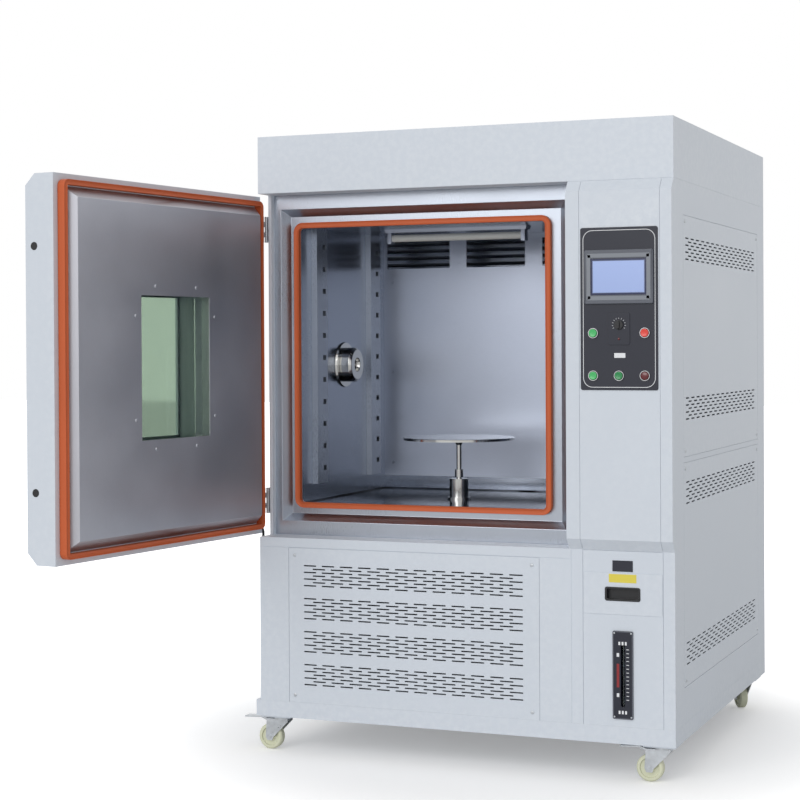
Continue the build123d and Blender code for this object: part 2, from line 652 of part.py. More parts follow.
# Lower cover with cut-outs for the drawer and the level gauge
DRAWER_LEFT = COVER_LEFT + DRAWER_MARGIN
DRAWER_RIGHT = COVER_RIGHT - DRAWER_MARGIN
DRAWER_LOW = BODY_BOTTOM + DRAWER_RISE
DRAWER_HIGH = DRAWER_LOW + DRAWER_HEIGHT
TRAY_LEFT = DRAWER_LEFT + DRAWER_SIDE_GAP + DRAWER_SIDE_GAP / 2
TRAY_RIGHT = DRAWER_RIGHT - DRAWER_SIDE_GAP - DRAWER_SIDE_GAP / 2
TRAY_LOW = DRAWER_LOW + DRAWER_SIDE_GAP
TRAY_HIGH = DRAWER_HIGH - DRAWER_SIDE_GAP
GAUGE_LOW = BODY_BOTTOM + GAUGE_RISE
GAUGE_MIDDLE = GAUGE_LOW + GAUGE_HEIGHT / 2
CHANNEL_WIDTH = GAUGE_SLOT_WIDTH + 8
CHANNEL_DEPTH = 2 * GAUGE_TUBE_RADIUS + 6
with BuildPart() as lower_column_cover:
    with BuildSketch(front_plane(FRONT)):
        pane((COVER_LEFT, COVER_RIGHT), (BODY_BOTTOM, LOWER_COVER_TOP))
        pane((TRAY_LEFT - FIT_GAP, TRAY_RIGHT + FIT_GAP), (TRAY_LOW - FIT_GAP, TRAY_HIGH + FIT_GAP), Mode.SUBTRACT)
        with Locations((COVER_CENTRE, GAUGE_MIDDLE)):
            Rectangle(CHANNEL_WIDTH + 1, GAUGE_SLOT_HEIGHT + 21, mode=Mode.SUBTRACT)
    extrude(amount=-PANEL_SHEET)
    with BuildSketch(front_plane(FRONT)):
        with Locations((COVER_CENTRE, DRAWER_HIGH + 19)):
            RectangleRounded(GAUGE_WIDTH, 30, 3)
    extrude(amount=1)

# Drawer: an open tray with an overlapping front and a recessed grip
HANDLE_LOW = DRAWER_LOW + HANDLE_RISE
HANDLE_SPAN = (COVER_CENTRE - HANDLE_WIDTH / 2, COVER_CENTRE + HANDLE_WIDTH / 2)
CUP_SPAN = (HANDLE_SPAN[0] + 6, HANDLE_SPAN[1] - 6)
CUP_RISE = (HANDLE_LOW + 5, HANDLE_LOW + HANDLE_HEIGHT - 5)
with BuildPart() as drawer:
    with BuildSketch(front_plane(FRONT)):
        pane((DRAWER_LEFT, DRAWER_RIGHT), (DRAWER_LOW, DRAWER_HIGH))
    extrude(amount=DRAWER_FRONT)
    with BuildSketch(front_plane(FRONT)):
        pane((TRAY_LEFT, TRAY_RIGHT), (TRAY_LOW, TRAY_HIGH))
    extrude(amount=-DRAWER_DEPTH)
    block(
        (TRAY_LEFT + DRAWER_WALL, TRAY_RIGHT - DRAWER_WALL),
        (FRONT + HANDLE_DEPTH + 4, FRONT + DRAWER_DEPTH - DRAWER_WALL),
        (TRAY_LOW + DRAWER_WALL, TRAY_HIGH),
        Mode.SUBTRACT,
    )
    with BuildSketch(front_plane(FRONT - DRAWER_FRONT)):
        soft_pane((CUP_SPAN[0] - 2, CUP_SPAN[1] + 2), (CUP_RISE[0] - 2, CUP_RISE[1] + 2), 5)
    extrude(amount=-(DRAWER_FRONT + HANDLE_DEPTH + 1), mode=Mode.SUBTRACT)

with BuildPart() as drawer_handle:
    with BuildSketch(front_plane(FRONT - DRAWER_FRONT)):
        soft_pane(HANDLE_SPAN, (HANDLE_LOW, HANDLE_LOW + HANDLE_HEIGHT), 6)
    extrude(amount=2)
    with BuildSketch(front_plane(FRONT - DRAWER_FRONT)):
        soft_pane((CUP_SPAN[0] - 1.5, CUP_SPAN[1] + 1.5), (CUP_RISE[0] - 1.5, CUP_RISE[1] + 1.5), 4.5)
    extrude(amount=-(DRAWER_FRONT + HANDLE_DEPTH))
    with BuildSketch(front_plane(FRONT - DRAWER_FRONT - 2)):
        soft_pane(CUP_SPAN, CUP_RISE, 4)
    extrude(amount=-(DRAWER_FRONT + HANDLE_DEPTH), mode=Mode.SUBTRACT)

# Level gauge: plate, channel behind it and the sight tube standing in the channel
with BuildPart() as gauge_plate:
    with BuildSketch(front_plane(FRONT)):
        with Locations((COVER_CENTRE, GAUGE_MIDDLE)):
            RectangleRounded(GAUGE_WIDTH, GAUGE_HEIGHT, 4)
    extrude(amount=GAUGE_PLATE)
    with BuildSketch(front_plane(FRONT)):
        with Locations((COVER_CENTRE, GAUGE_MIDDLE)):
            Rectangle(CHANNEL_WIDTH, GAUGE_SLOT_HEIGHT + 20)
    extrude(amount=-CHANNEL_DEPTH)
    with BuildSketch(front_plane(FRONT - GAUGE_PLATE)):
        with Locations((COVER_CENTRE, GAUGE_MIDDLE)):
            SlotOverall(GAUGE_SLOT_HEIGHT, GAUGE_SLOT_WIDTH, rotation=90)
    extrude(amount=-(GAUGE_PLATE + CHANNEL_DEPTH - 3), mode=Mode.SUBTRACT)
    with BuildSketch(Plane((COVER_CENTRE, FRONT + GAUGE_TUBE_RADIUS + 2, GAUGE_MIDDLE - GAUGE_SLOT_HEIGHT / 2 - 6))):
        Circle(GAUGE_TUBE_RADIUS + FIT_GAP)
    extrude(amount=GAUGE_SLOT_HEIGHT + 12, mode=Mode.SUBTRACT)

with BuildPart() as gauge_tube:
    with BuildSketch(Plane((COVER_CENTRE, FRONT + GAUGE_TUBE_RADIUS + 2, GAUGE_MIDDLE - GAUGE_SLOT_HEIGHT / 2 - 6))):
        Circle(GAUGE_TUBE_RADIUS)
        Circle(GAUGE_TUBE_RADIUS - 1.5, mode=Mode.SUBTRACT)
    extrude(amount=GAUGE_SLOT_HEIGHT + 12)

# Ventilation grille in the lower front
with BuildPart() as grille_panel:
    with BuildSketch(front_plane(FRONT)):
        pane((GRILLE_LEFT, GRILLE_RIGHT), (BODY_BOTTOM, GRILLE_TOP))
        grille_middle = (GRILLE_LEFT + GRILLE_RIGHT) / 2
        grille_slots = int(GRILLE_WIDTH / GRILLE_SLOT_PITCH)
        for number in range(GRILLE_BLOCKS):
            rise = GRILLE_FIRST_BLOCK + number * GRILLE_BLOCK_PITCH
            slot_rows((grille_middle, BODY_BOTTOM + rise), grille_slots, GRILLE_SLOT_PITCH, GRILLE_SLOT_LENGTH)
    extrude(amount=-PANEL_SHEET)


def make_side_panel(bottom, top, insets):
    """Side panel with a block of slots near its bottom and one near its top."""
    with BuildPart() as panel:
        with BuildSketch(side_plane(RIGHT)):
            start = FRONT + SIDE_PANEL_INSET
            pane((start, start + SIDE_PANEL_LENGTH), (bottom, top))
            slots = int(SIDE_PANEL_LENGTH / SIDE_SLOT_PITCH)
            for rise in (bottom + insets[0], top - insets[1]):
                slot_rows((start + SIDE_PANEL_LENGTH / 2, rise), slots, SIDE_SLOT_PITCH, SIDE_SLOT_LENGTH)
        extrude(amount=-PANEL_SHEET)
    return panel.part


side_panel_upper = make_side_panel(UPPER_PANEL_BOTTOM, UPPER_PANEL_TOP, UPPER_BLOCK_INSETS)
side_panel_lower = make_side_panel(LOWER_PANEL_BOTTOM, LOWER_PANEL_TOP, LOWER_BLOCK_INSETS)

# Heads of the panel screws, drawn with twelve sides
with BuildPart() as cabinet_screws:
    with BuildSketch(front_plane(FRONT)):
        with Locations((grille_middle, BODY_BOTTOM + GRILLE_HEIGHT / 2)):
            with GridLocations(GRILLE_WIDTH - 2 * GRILLE_SCREW_INSET, GRILLE_HEIGHT - 2 * GRILLE_SCREW_INSET, 2, 2):
                RegularPolygon(SCREW_HEAD_RADIUS, SCREW_SIDES)
    extrude(amount=SCREW_HEAD_HEIGHT, taper=30)
    with BuildSketch(side_plane(RIGHT)):
        for bottom, top in SIDE_PANELS:
            with Locations((FRONT + SIDE_PANEL_INSET + SIDE_PANEL_LENGTH / 2, (bottom + top) / 2)):
                with GridLocations(SIDE_PANEL_LENGTH - 2 * SCREW_INSET, top - bottom - 2 * SCREW_INSET, 2, 2):
                    RegularPolygon(SCREW_HEAD_RADIUS, SCREW_SIDES)
    extrude(amount=SCREW_HEAD_HEIGHT, taper=30)

# Stainless surround: outer flat, sloped step and inner flat round the chamber's mouth
with BuildPart() as door_surround:
    with BuildSketch(front_plane(SEAT_FACE)):
        pane((LEFT + SHELL_WALL, COLUMN_LEFT), (LEDGE_HEIGHT, BODY_TOP))
    extrude(amount=-STEEL_SHEET)
    with BuildSketch(front_plane(SEAT_FACE)):
        pane((STEP_TOP_LEFT - 3, STEP_TOP_RIGHT + 3), (STEP_LOW - 3, STEP_HIGH + 3))
    with BuildSketch(front_plane(INNER_FACE + STEEL_SHEET)):
        pane(
            (STEP_TOP_LEFT + STEP_RUN - 3, STEP_TOP_RIGHT - STEP_RUN + 3),
            (STEP_LOW + STEP_RUN - 3, STEP_HIGH - STEP_RUN + 3),
        )
    loft()
    with BuildSketch(front_plane(SEAT_FACE)):
        pane((STEP_TOP_LEFT, STEP_TOP_RIGHT), (STEP_LOW, STEP_HIGH))
    with BuildSketch(front_plane(INNER_FACE)):
        pane(
            (STEP_TOP_LEFT + STEP_RUN, STEP_TOP_RIGHT - STEP_RUN),
            (STEP_LOW + STEP_RUN, STEP_HIGH - STEP_RUN),
        )
    loft(mode=Mode.SUBTRACT)
    with BuildSketch(front_plane(INNER_FACE)):
        soft_pane((MOUTH_LEFT, MOUTH_RIGHT), (MOUTH_BOTTOM, MOUTH_TOP), GASKET_CORNER - GASKET_WIDTH)
    extrude(amount=-STEEL_SHEET, mode=Mode.SUBTRACT)

with BuildPart() as cabinet_gasket:
    with BuildSketch(front_plane(INNER_FACE)):
        soft_pane(
            (MOUTH_LEFT - GASKET_WIDTH, MOUTH_RIGHT + GASKET_WIDTH),
            (MOUTH_BOTTOM - GASKET_WIDTH, MOUTH_TOP + GASKET_WIDTH),
            GASKET_CORNER,
        )
        soft_pane((MOUTH_LEFT, MOUTH_RIGHT), (MOUTH_BOTTOM, MOUTH_TOP), GASKET_CORNER - GASKET_WIDTH, Mode.SUBTRACT)
    extrude(amount=GASKET_HEIGHT)
    chamfer(cabinet_gasket.faces().sort_by(Axis.Y)[0].outer_wire().edges(), 5)

# Chamber liner: a deep steel box with a front flange, a port hole and a fan bearing at the back
FAN_X = CHAMBER_CENTRE
PORT_Y = INNER_FACE + PORT_DEPTH
with BuildPart() as chamber_liner:
    with BuildSketch(front_plane(INNER_FACE + STEEL_SHEET)):
        pane((LINER_LEFT - 20, LINER_RIGHT + 20), (LINER_BOTTOM - 20, LINER_TOP + 20))
    extrude(amount=-STEEL_SHEET)
    with BuildSketch(front_plane(LINER_FRONT)):
        pane(
            (LINER_LEFT - STEEL_SHEET, LINER_RIGHT + STEEL_SHEET),
            (LINER_BOTTOM - STEEL_SHEET, LINER_TOP + STEEL_SHEET),
        )
    extrude(amount=-(LINER_DEPTH + STEEL_SHEET))
    with BuildSketch(front_plane(LINER_FRONT)):
        pane((LINER_LEFT, LINER_RIGHT), (LINER_BOTTOM, LINER_TOP))
    extrude(amount=-LINER_DEPTH, mode=Mode.SUBTRACT)
    with BuildSketch(front_plane(LINER_BACK + STEEL_SHEET)):
        with Locations((FAN_X, FAN_HEIGHT)):
            Circle(FAN_MOTOR_RADIUS)
    extrude(amount=-FAN_MOTOR_LENGTH)
    with BuildSketch(front_plane(LINER_BACK)):
        with Locations((FAN_X, FAN_HEIGHT)):
            Circle(FAN_SHAFT_RADIUS + RUN_GAP)
    extrude(amount=-FAN_MOTOR_LENGTH, mode=Mode.SUBTRACT)
    with BuildSketch(side_plane(LINER_LEFT)):
        with Locations((PORT_Y, PORT_HEIGHT)):
            Circle(PORT_BORE_RADIUS + PORT_TUBE_WALL + FIT_GAP)
    extrude(amount=-STEEL_SHEET, mode=Mode.SUBTRACT)

# Cable port: a flanged tube through the left wall, and its plug
with BuildPart() as port_sleeve:
    with BuildSketch(side_plane(LEFT - STEEL_SHEET)):
        with Locations((PORT_Y, PORT_HEIGHT)):
            Circle(PORT_BORE_RADIUS + PORT_TUBE_WALL)
    extrude(amount=LINER_LEFT + PORT_FLANGE_THICKNESS - LEFT + STEEL_SHEET)
    with BuildSketch(side_plane(LINER_LEFT)):
        with Locations((PORT_Y, PORT_HEIGHT)):
            Circle(PORT_FLANGE_RADIUS)
    extrude(amount=PORT_FLANGE_THICKNESS, taper=20)
    with BuildSketch(side_plane(LEFT)):
        with Locations((PORT_Y, PORT_HEIGHT)):
            Circle(PORT_OUTER_RADIUS)
    extrude(amount=-STEEL_SHEET)
    with BuildSketch(side_plane(LEFT - STEEL_SHEET)):
        with Locations((PORT_Y, PORT_HEIGHT)):
            Circle(PORT_BORE_RADIUS)
    extrude(amount=POST_WIDTH * 20, mode=Mode.SUBTRACT)

PLUG_SEAT = LINER_LEFT + PORT_FLANGE_THICKNESS
with BuildPart() as port_plug:
    with BuildSketch(Plane.XZ):
        with Locations((0, 0)):
            Polygon(
                (-PLUG_SPIGOT_LENGTH, 0),
                (-PLUG_SPIGOT_LENGTH, PORT_BORE_RADIUS - 3),
                (0, PORT_BORE_RADIUS - FIT_GAP),
                (0, PLUG_CAP_RADIUS),
                (PLUG_CAP_LENGTH - 8, PLUG_CAP_RADIUS),
                (PLUG_CAP_LENGTH, PLUG_CAP_RADIUS - 7),
                (PLUG_CAP_LENGTH, 22),
                (PLUG_CAP_LENGTH - 12, 18),
                (PLUG_CAP_LENGTH - 12, 0),
                align=None,
            )
    revolve(axis=Axis.X)
port_plug_part = Pos(PLUG_SEAT, PORT_Y, PORT_HEIGHT) * port_plug.part

# Shelf rails: slotted channels on both side walls
RAIL_LOW = LINER_BOTTOM + RAIL_BOTTOM_RISE


def make_rail(wall, y, facing):
    """One channel on a side wall, its slots facing the middle of the chamber."""
    depth = facing * RAIL_PROJECTION
    with BuildPart() as rail:
        with BuildSketch(side_plane(wall)):
            pane((y, y + RAIL_WIDTH), (RAIL_LOW, LINER_TOP))
        extrude(amount=depth)
        with BuildSketch(side_plane(wall)):
            pane((y + STEEL_SHEET, y + RAIL_WIDTH - STEEL_SHEET), (RAIL_LOW, LINER_TOP))
        extrude(amount=depth - facing * STEEL_SHEET, mode=Mode.SUBTRACT)
        with BuildSketch(side_plane(wall)):
            low = RAIL_LOW + RAIL_FIRST_SLOT
            slots = int((LINER_TOP - low) / RAIL_SLOT_PITCH) + 1
            with Locations((y + RAIL_SLOT_INSET, low + (slots - 1) * RAIL_SLOT_PITCH / 2)):
                with GridLocations(0, RAIL_SLOT_PITCH, 1, slots):
                    Rectangle(RAIL_SLOT_WIDTH, RAIL_SLOT_HEIGHT)
        extrude(amount=depth, mode=Mode.SUBTRACT)
    return rail.part


rail_parts = []
for rail_start in (INNER_FACE + RAIL_FRONT, BAFFLE_FACE - RAIL_MARGIN_BACK - RAIL_WIDTH):
    rail_parts.append(make_rail(LINER_LEFT, rail_start, 1))
    rail_parts.append(make_rail(LINER_RIGHT, rail_start, -1))
shelf_rails = Compound(children=rail_parts)

# Back baffle with the air outlet and its louvres above
BAFFLE_BOTTOM = LINER_BOTTOM + RETURN_GAP
with BuildPart() as back_baffle:
    with BuildSketch(front_plane(BAFFLE_FACE)):
        pane((LINER_LEFT, LINER_RIGHT), (BAFFLE_BOTTOM, LINER_TOP))
        outlet = (OUTLET_BOTTOM, OUTLET_BOTTOM + OUTLET_HEIGHT)
        bar = OUTLET_BAR_WIDTH / 2
        pane((LINER_LEFT + 12, CHAMBER_CENTRE - OUTLET_BAR_OFFSET - bar), outlet, Mode.SUBTRACT)
        pane(
            (CHAMBER_CENTRE - OUTLET_BAR_OFFSET + bar, CHAMBER_CENTRE + OUTLET_BAR_OFFSET - bar),
            outlet,
            Mode.SUBTRACT,
        )
        pane((CHAMBER_CENTRE + OUTLET_BAR_OFFSET + bar, LINER_RIGHT - 12), outlet, Mode.SUBTRACT)
    extrude(amount=-STEEL_SHEET)
    for number in range(LOUVRE_COUNT):
        rise = OUTLET_BOTTOM + (number + 0.5) * OUTLET_HEIGHT / LOUVRE_COUNT
        with BuildSketch(side_plane(LINER_LEFT + 2)):
            with Locations((BAFFLE_FACE + 8, rise)):
                Rectangle(18, STEEL_SHEET, rotation=-32)
        extrude(amount=LINER_RIGHT - LINER_LEFT - 4)
    with BuildSketch(front_plane(BAFFLE_FACE)):
        screw_span = LINER_RIGHT - LINER_LEFT - 2 * BAFFLE_SCREW_INSET
        screw_rise = OUTLET_BOTTOM - BAFFLE_BOTTOM - 3 * BAFFLE_SCREW_INSET
        with Locations((CHAMBER_CENTRE, (OUTLET_BOTTOM + BAFFLE_BOTTOM) / 2)):
            with GridLocations(screw_span, screw_rise / 2, 2, 3):
                RegularPolygon(SCREW_HEAD_RADIUS, SCREW_SIDES)
    extrude(amount=SCREW_HEAD_HEIGHT, taper=30)

# Floor pan with a turned-up rim round its edge
FLOOR_TOP = LINER_BOTTOM + STEEL_SHEET
DISC_Y = INNER_FACE + DISC_DEPTH
PAN_BACK = BAFFLE_FACE - PAN_GAP
with BuildPart() as floor_pan:
    block((LINER_LEFT, LINER_RIGHT), (LINER_FRONT, PAN_BACK), (LINER_BOTTOM, LINER_BOTTOM + PAN_RIM / 3))
    block(
        (LINER_LEFT + STEEL_SHEET, LINER_RIGHT - STEEL_SHEET),
        (LINER_FRONT + STEEL_SHEET, PAN_BACK - STEEL_SHEET),
        (FLOOR_TOP, LINER_BOTTOM + PAN_RIM),
        Mode.SUBTRACT,
    )
    with Locations((CHAMBER_CENTRE, DISC_Y, LINER_BOTTOM)):
        Cylinder(HOUSING_FOOT_RADIUS + FIT_GAP, 3 * STEEL_SHEET, mode=Mode.SUBTRACT)

# Lamp under the chamber's ceiling
LAMP_Y = INNER_FACE + LAMP_DEPTH
with BuildPart() as lamp_housing:
    with BuildSketch(Plane((CHAMBER_CENTRE, LAMP_Y, LINER_TOP))):
        Rectangle(LAMP_LENGTH + 2 * LAMP_BASE_OVERHANG, LAMP_BASE_WIDTH)
    extrude(amount=-LAMP_BASE_THICKNESS, taper=20)
    with BuildSketch(Plane((CHAMBER_CENTRE, LAMP_Y, LINER_TOP))):
        with GridLocations(LAMP_LENGTH + LAMP_HOLDER, 0, 2, 1):
            Rectangle(LAMP_HOLDER, LAMP_HOLDER_WIDTH)
    extrude(amount=-(LAMP_BASE_THICKNESS + 2 * LAMP_GAP + 2 * LAMP_RADIUS))
with BuildPart() as lamp_tube:
    with BuildSketch(side_plane(CHAMBER_CENTRE - LAMP_LENGTH / 2)):
        with Locations((LAMP_Y, LINER_TOP - LAMP_BASE_THICKNESS - LAMP_GAP - LAMP_RADIUS)):
            Circle(LAMP_RADIUS)
    extrude(amount=LAMP_LENGTH)

# Circulation fan behind the baffle
FAN_FRONT = BAFFLE_FACE + FAN_STANDOFF
with BuildPart() as fan_wheel:
    with BuildSketch(front_plane(FAN_FRONT + FAN_WIDTH)):
        with Locations((FAN_X, FAN_HEIGHT)):
            Circle(FAN_RADIUS)
    extrude(amount=STEEL_SHEET)
    with BuildSketch(front_plane(FAN_FRONT + FAN_WIDTH)):
        with Locations((FAN_X, FAN_HEIGHT)):
            Circle(FAN_HUB_RADIUS)
            with PolarLocations(FAN_RADIUS - 0.55 * FAN_BLADE_LENGTH, FAN_BLADES):
                Rectangle(FAN_BLADE_LENGTH, STEEL_SHEET, rotation=35)
    extrude(amount=FAN_WIDTH)
    with BuildSketch(front_plane(LINER_BACK + FAN_MOTOR_LENGTH / 2)):
        with Locations((FAN_X, FAN_HEIGHT)):
            Circle(FAN_SHAFT_RADIUS)
    extrude(amount=LINER_BACK + FAN_MOTOR_LENGTH / 2 - FAN_FRONT - FAN_WIDTH)

# Turntable: bearing housing on the floor, shaft with collar and flare, and the disc
with BuildPart() as bearing_housing:
    with BuildSketch(Plane((CHAMBER_CENTRE, DISC_Y, LINER_BOTTOM))):
        Circle(HOUSING_FOOT_RADIUS)
    extrude(amount=HOUSING_FOOT_HEIGHT)
    with BuildSketch(Plane((CHAMBER_CENTRE, DISC_Y, LINER_BOTTOM))):
        Circle(HOUSING_RADIUS)
    extrude(amount=HOUSING_TOP - LINER_BOTTOM)
    with BuildSketch(Plane((CHAMBER_CENTRE, DISC_Y, LINER_BOTTOM + 6))):
        Circle(SHAFT_RADIUS + RUN_GAP)
    extrude(amount=HOUSING_TOP - LINER_BOTTOM, mode=Mode.SUBTRACT)
with BuildPart() as turntable_shaft:
    with BuildSketch(Plane.XZ):
        Polygon(
            (0, LINER_BOTTOM + 8),
            (SHAFT_RADIUS, LINER_BOTTOM + 8),
            (SHAFT_RADIUS, HOUSING_TOP + 4),
            (COLLAR_RADIUS, HOUSING_TOP + 4),
            (COLLAR_RADIUS, HOUSING_TOP + 4 + COLLAR_HEIGHT),
            (SHAFT_RADIUS, HOUSING_TOP + 5 + COLLAR_HEIGHT),
            (SHAFT_RADIUS, DISC_TOP - DISC_THICKNESS - 16),
            (2 * SHAFT_RADIUS, DISC_TOP - DISC_THICKNESS),
            (0, DISC_TOP - DISC_THICKNESS),
            align=None,
        )
    revolve(axis=Axis.Z)
turntable_shaft_part = Pos(CHAMBER_CENTRE, DISC_Y, 0) * turntable_shaft.part
with BuildPart() as turntable_disc:
    with BuildSketch(Plane((CHAMBER_CENTRE, DISC_Y, DISC_TOP - DISC_THICKNESS))):
        Circle(DISC_RADIUS)
    extrude(amount=DISC_THICKNESS)
    chamfer(turntable_disc.faces().sort_by(Axis.Z)[-1].edges(), 1)

# Door: a thick insulated slab with chamfered ends, cut for the window, the bolts and their gap
WINDOW_ACROSS = (WINDOW_U - WINDOW_WIDTH / 2, WINDOW_U + WINDOW_WIDTH / 2)
WINDOW_UP = (MIDDLE - WINDOW_HEIGHT / 2, MIDDLE + WINDOW_HEIGHT / 2)
REBATE_ACROSS = (WINDOW_ACROSS[0] - WINDOW_REBATE, WINDOW_ACROSS[1] + WINDOW_REBATE)
REBATE_UP = (WINDOW_UP[0] - WINDOW_REBATE, WINDOW_UP[1] + WINDOW_REBATE)
BOLT_V = DOOR_OUTER_V + BOLT_SETBACK
with BuildPart() as door_shell:
    with BuildSketch(door_side(DOOR_U0)):
        Polygon(
            (DOOR_INNER_V, DOOR_LOW),
            (DOOR_OUTER_V + COLUMN_CHAMFER, DOOR_LOW),
            (DOOR_OUTER_V, DOOR_LOW + COLUMN_CHAMFER),
            (DOOR_OUTER_V, DOOR_HIGH - COLUMN_CHAMFER),
            (DOOR_OUTER_V + COLUMN_CHAMFER, DOOR_HIGH),
            (DOOR_INNER_V, DOOR_HIGH),
            align=None,
        )
    extrude(amount=DOOR_U1 - DOOR_U0)
    with BuildSketch(door_face(DOOR_OUTER_V)):
        pane(WINDOW_ACROSS, WINDOW_UP)
    extrude(amount=-WINDOW_LIP, mode=Mode.SUBTRACT)
    with BuildSketch(door_face(DOOR_OUTER_V + WINDOW_LIP)):
        pane(REBATE_ACROSS, REBATE_UP)
    extrude(amount=-(DOOR_INNER_V - DOOR_OUTER_V - WINDOW_LIP), mode=Mode.SUBTRACT)
    with BuildSketch(door_side(DOOR_U1)):
        with Locations((BOLT_V, MIDDLE)):
            with GridLocations(0, 2 * BOLT_SPREAD, 1, 2):
                Circle(BOLT_RADIUS + FIT_GAP)
    extrude(amount=-(BOLT_LENGTH + 2), mode=Mode.SUBTRACT)

# Inner skin of the door: a raised plug with sloped sides, its window edge and screws
with BuildPart() as door_liner:
    with BuildSketch(door_face(DOOR_INNER_V)):
        pane(
            (DOOR_U0 + DOOR_STEP_INSET, DOOR_U1 - DOOR_STEP_INSET),
            (DOOR_LOW + DOOR_STEP_INSET, DOOR_HIGH - DOOR_STEP_INSET),
        )
    with BuildSketch(door_face(DOOR_STEP_V)):
        pane(
            (DOOR_U0 + DOOR_STEP_INSET + DOOR_STEP_RUN, DOOR_U1 - DOOR_STEP_INSET - DOOR_STEP_RUN),
            (DOOR_LOW + DOOR_STEP_INSET + DOOR_STEP_RISE, DOOR_HIGH - DOOR_STEP_INSET - DOOR_STEP_RISE),
        )
    loft()
    with BuildSketch(door_face(DOOR_STEP_V)):
        pane(WINDOW_ACROSS, WINDOW_UP)
    extrude(amount=DOOR_STEP_V - DOOR_INNER_V, mode=Mode.SUBTRACT)
    with BuildSketch(door_face(DOOR_INNER_V)):
        pane(REBATE_ACROSS, REBATE_UP)
    extrude(amount=-(DOOR_STEP_V - DOOR_INNER_V - 3), mode=Mode.SUBTRACT)
    with BuildSketch(door_face(DOOR_STEP_V)):
        with Locations((WINDOW_U, MIDDLE)):
            with GridLocations(2 * WINDOW_SCREW_SPREAD, WINDOW_HEIGHT + 2 * WINDOW_SCREW_OUTSET, 2, 2):
                RegularPolygon(SCREW_HEAD_RADIUS, SCREW_SIDES)
            with GridLocations(WINDOW_WIDTH + 2 * WINDOW_SCREW_OUTSET, 2 * WINDOW_SCREW_RISE, 2, 2):
                RegularPolygon(SCREW_HEAD_RADIUS, SCREW_SIDES)
    extrude(amount=-SCREW_HEAD_HEIGHT, taper=30)

with BuildPart() as door_gasket:
    with BuildSketch(door_face(DOOR_INNER_V)):
        edge = DOOR_GASKET_INSET
        soft_pane((DOOR_U0 + edge, DOOR_U1 - edge), (DOOR_LOW + edge, DOOR_HIGH - edge), DOOR_GASKET_CORNER)
        edge = DOOR_GASKET_INSET + DOOR_GASKET_WIDTH
        soft_pane(
            (DOOR_U0 + edge, DOOR_U1 - edge),
            (DOOR_LOW + edge, DOOR_HIGH - edge),
            DOOR_GASKET_CORNER - DOOR_GASKET_WIDTH,
            Mode.SUBTRACT,
        )
    extrude(amount=-(DOOR_GASKET_V - DOOR_INNER_V))

# Window: three panes standing in the rebate
PANE_FIRST = DOOR_OUTER_V + WINDOW_LIP
PANE_LAST = DOOR_STEP_V - 3 - GLASS_THICKNESS
with BuildPart() as window_panes:
    for number in range(PANE_COUNT):
        level = PANE_FIRST + number * (PANE_LAST - PANE_FIRST) / (PANE_COUNT - 1)
        with BuildSketch(door_face(level)):
            pane(REBATE_ACROSS, REBATE_UP)
        extrude(amount=-GLASS_THICKNESS)

# Latch: a lever on the outer face drives two bolts in the free edge
LEVER_U = DOOR_U1 - LEVER_BACKSET
with BuildPart() as door_handle:
    with BuildSketch(door_face(DOOR_OUTER_V - FIT_GAP)):
        with Locations((LEVER_U, MIDDLE)):
            Circle(24)
    extrude(amount=10, taper=10)
    with BuildSketch(door_face(DOOR_OUTER_V - 10)):
        with Locations((LEVER_U, MIDDLE)):
            Circle(9)
    extrude(amount=30)
    with BuildSketch(door_face(DOOR_OUTER_V - LEVER_RISE)):
        with Locations((LEVER_U - (LEVER_LENGTH - LEVER_WIDTH) / 2, MIDDLE)):
            SlotOverall(LEVER_LENGTH, LEVER_WIDTH)
    extrude(amount=LEVER_THICKNESS, taper=12)
with BuildPart() as latch_bolts:
    with BuildSketch(door_side(DOOR_U1 + BOLT_PROUD)):
        with Locations((BOLT_V, MIDDLE)):
            with GridLocations(0, 2 * BOLT_SPREAD, 1, 2):
                Circle(BOLT_RADIUS)
    extrude(amount=-BOLT_LENGTH)

# Hinges: knuckles in turn on the cabinet and on the door, pins fixed in the cabinet's leaves
KNUCKLE_PITCH = HINGE_HEIGHT / KNUCKLE_COUNT
HINGE_BASES = (MIDDLE - HINGE_OFFSET - HINGE_HEIGHT / 2, MIDDLE + HINGE_OFFSET - HINGE_HEIGHT / 2)
PIN_RADIUS = KNUCKLE_RADIUS / 2
LEAF_START = KNUCKLE_RADIUS / 2
with BuildPart() as hinge_cabinet_leaves:
    for base in HINGE_BASES:
        with BuildSketch(Plane((HINGE_X, HINGE_Y, base))):
            pane((HINGE_OUTSET - HINGE_PLATE, HINGE_OUTSET), (LEAF_START, HINGE_PLATE_WIDTH))
            Circle(PIN_RADIUS)
        extrude(amount=HINGE_HEIGHT)
        for number in range(0, KNUCKLE_COUNT, 2):
            with BuildSketch(Plane((HINGE_X, HINGE_Y, base + number * KNUCKLE_PITCH))):
                Circle(KNUCKLE_RADIUS)
                pane((0, HINGE_OUTSET), (LEAF_START, LEAF_START + HINGE_PLATE))
            extrude(amount=KNUCKLE_PITCH)
with BuildPart() as hinge_door_leaves:
    for base in HINGE_BASES:
        with BuildSketch(door_level(base)):
            pane((DOOR_U0 - HINGE_PLATE, DOOR_U0), (-HINGE_PLATE_WIDTH - LEAF_START, -LEAF_START))
        extrude(amount=HINGE_HEIGHT)
        for number in range(1, KNUCKLE_COUNT, 2):
            with BuildSketch(door_level(base + number * KNUCKLE_PITCH + FIT_GAP)):
                Circle(KNUCKLE_RADIUS)
                pane((0, DOOR_U0), (-LEAF_START - HINGE_PLATE, -LEAF_START))
                Circle(PIN_RADIUS + RUN_GAP, mode=Mode.SUBTRACT)
            extrude(amount=KNUCKLE_PITCH - 2 * FIT_GAP)

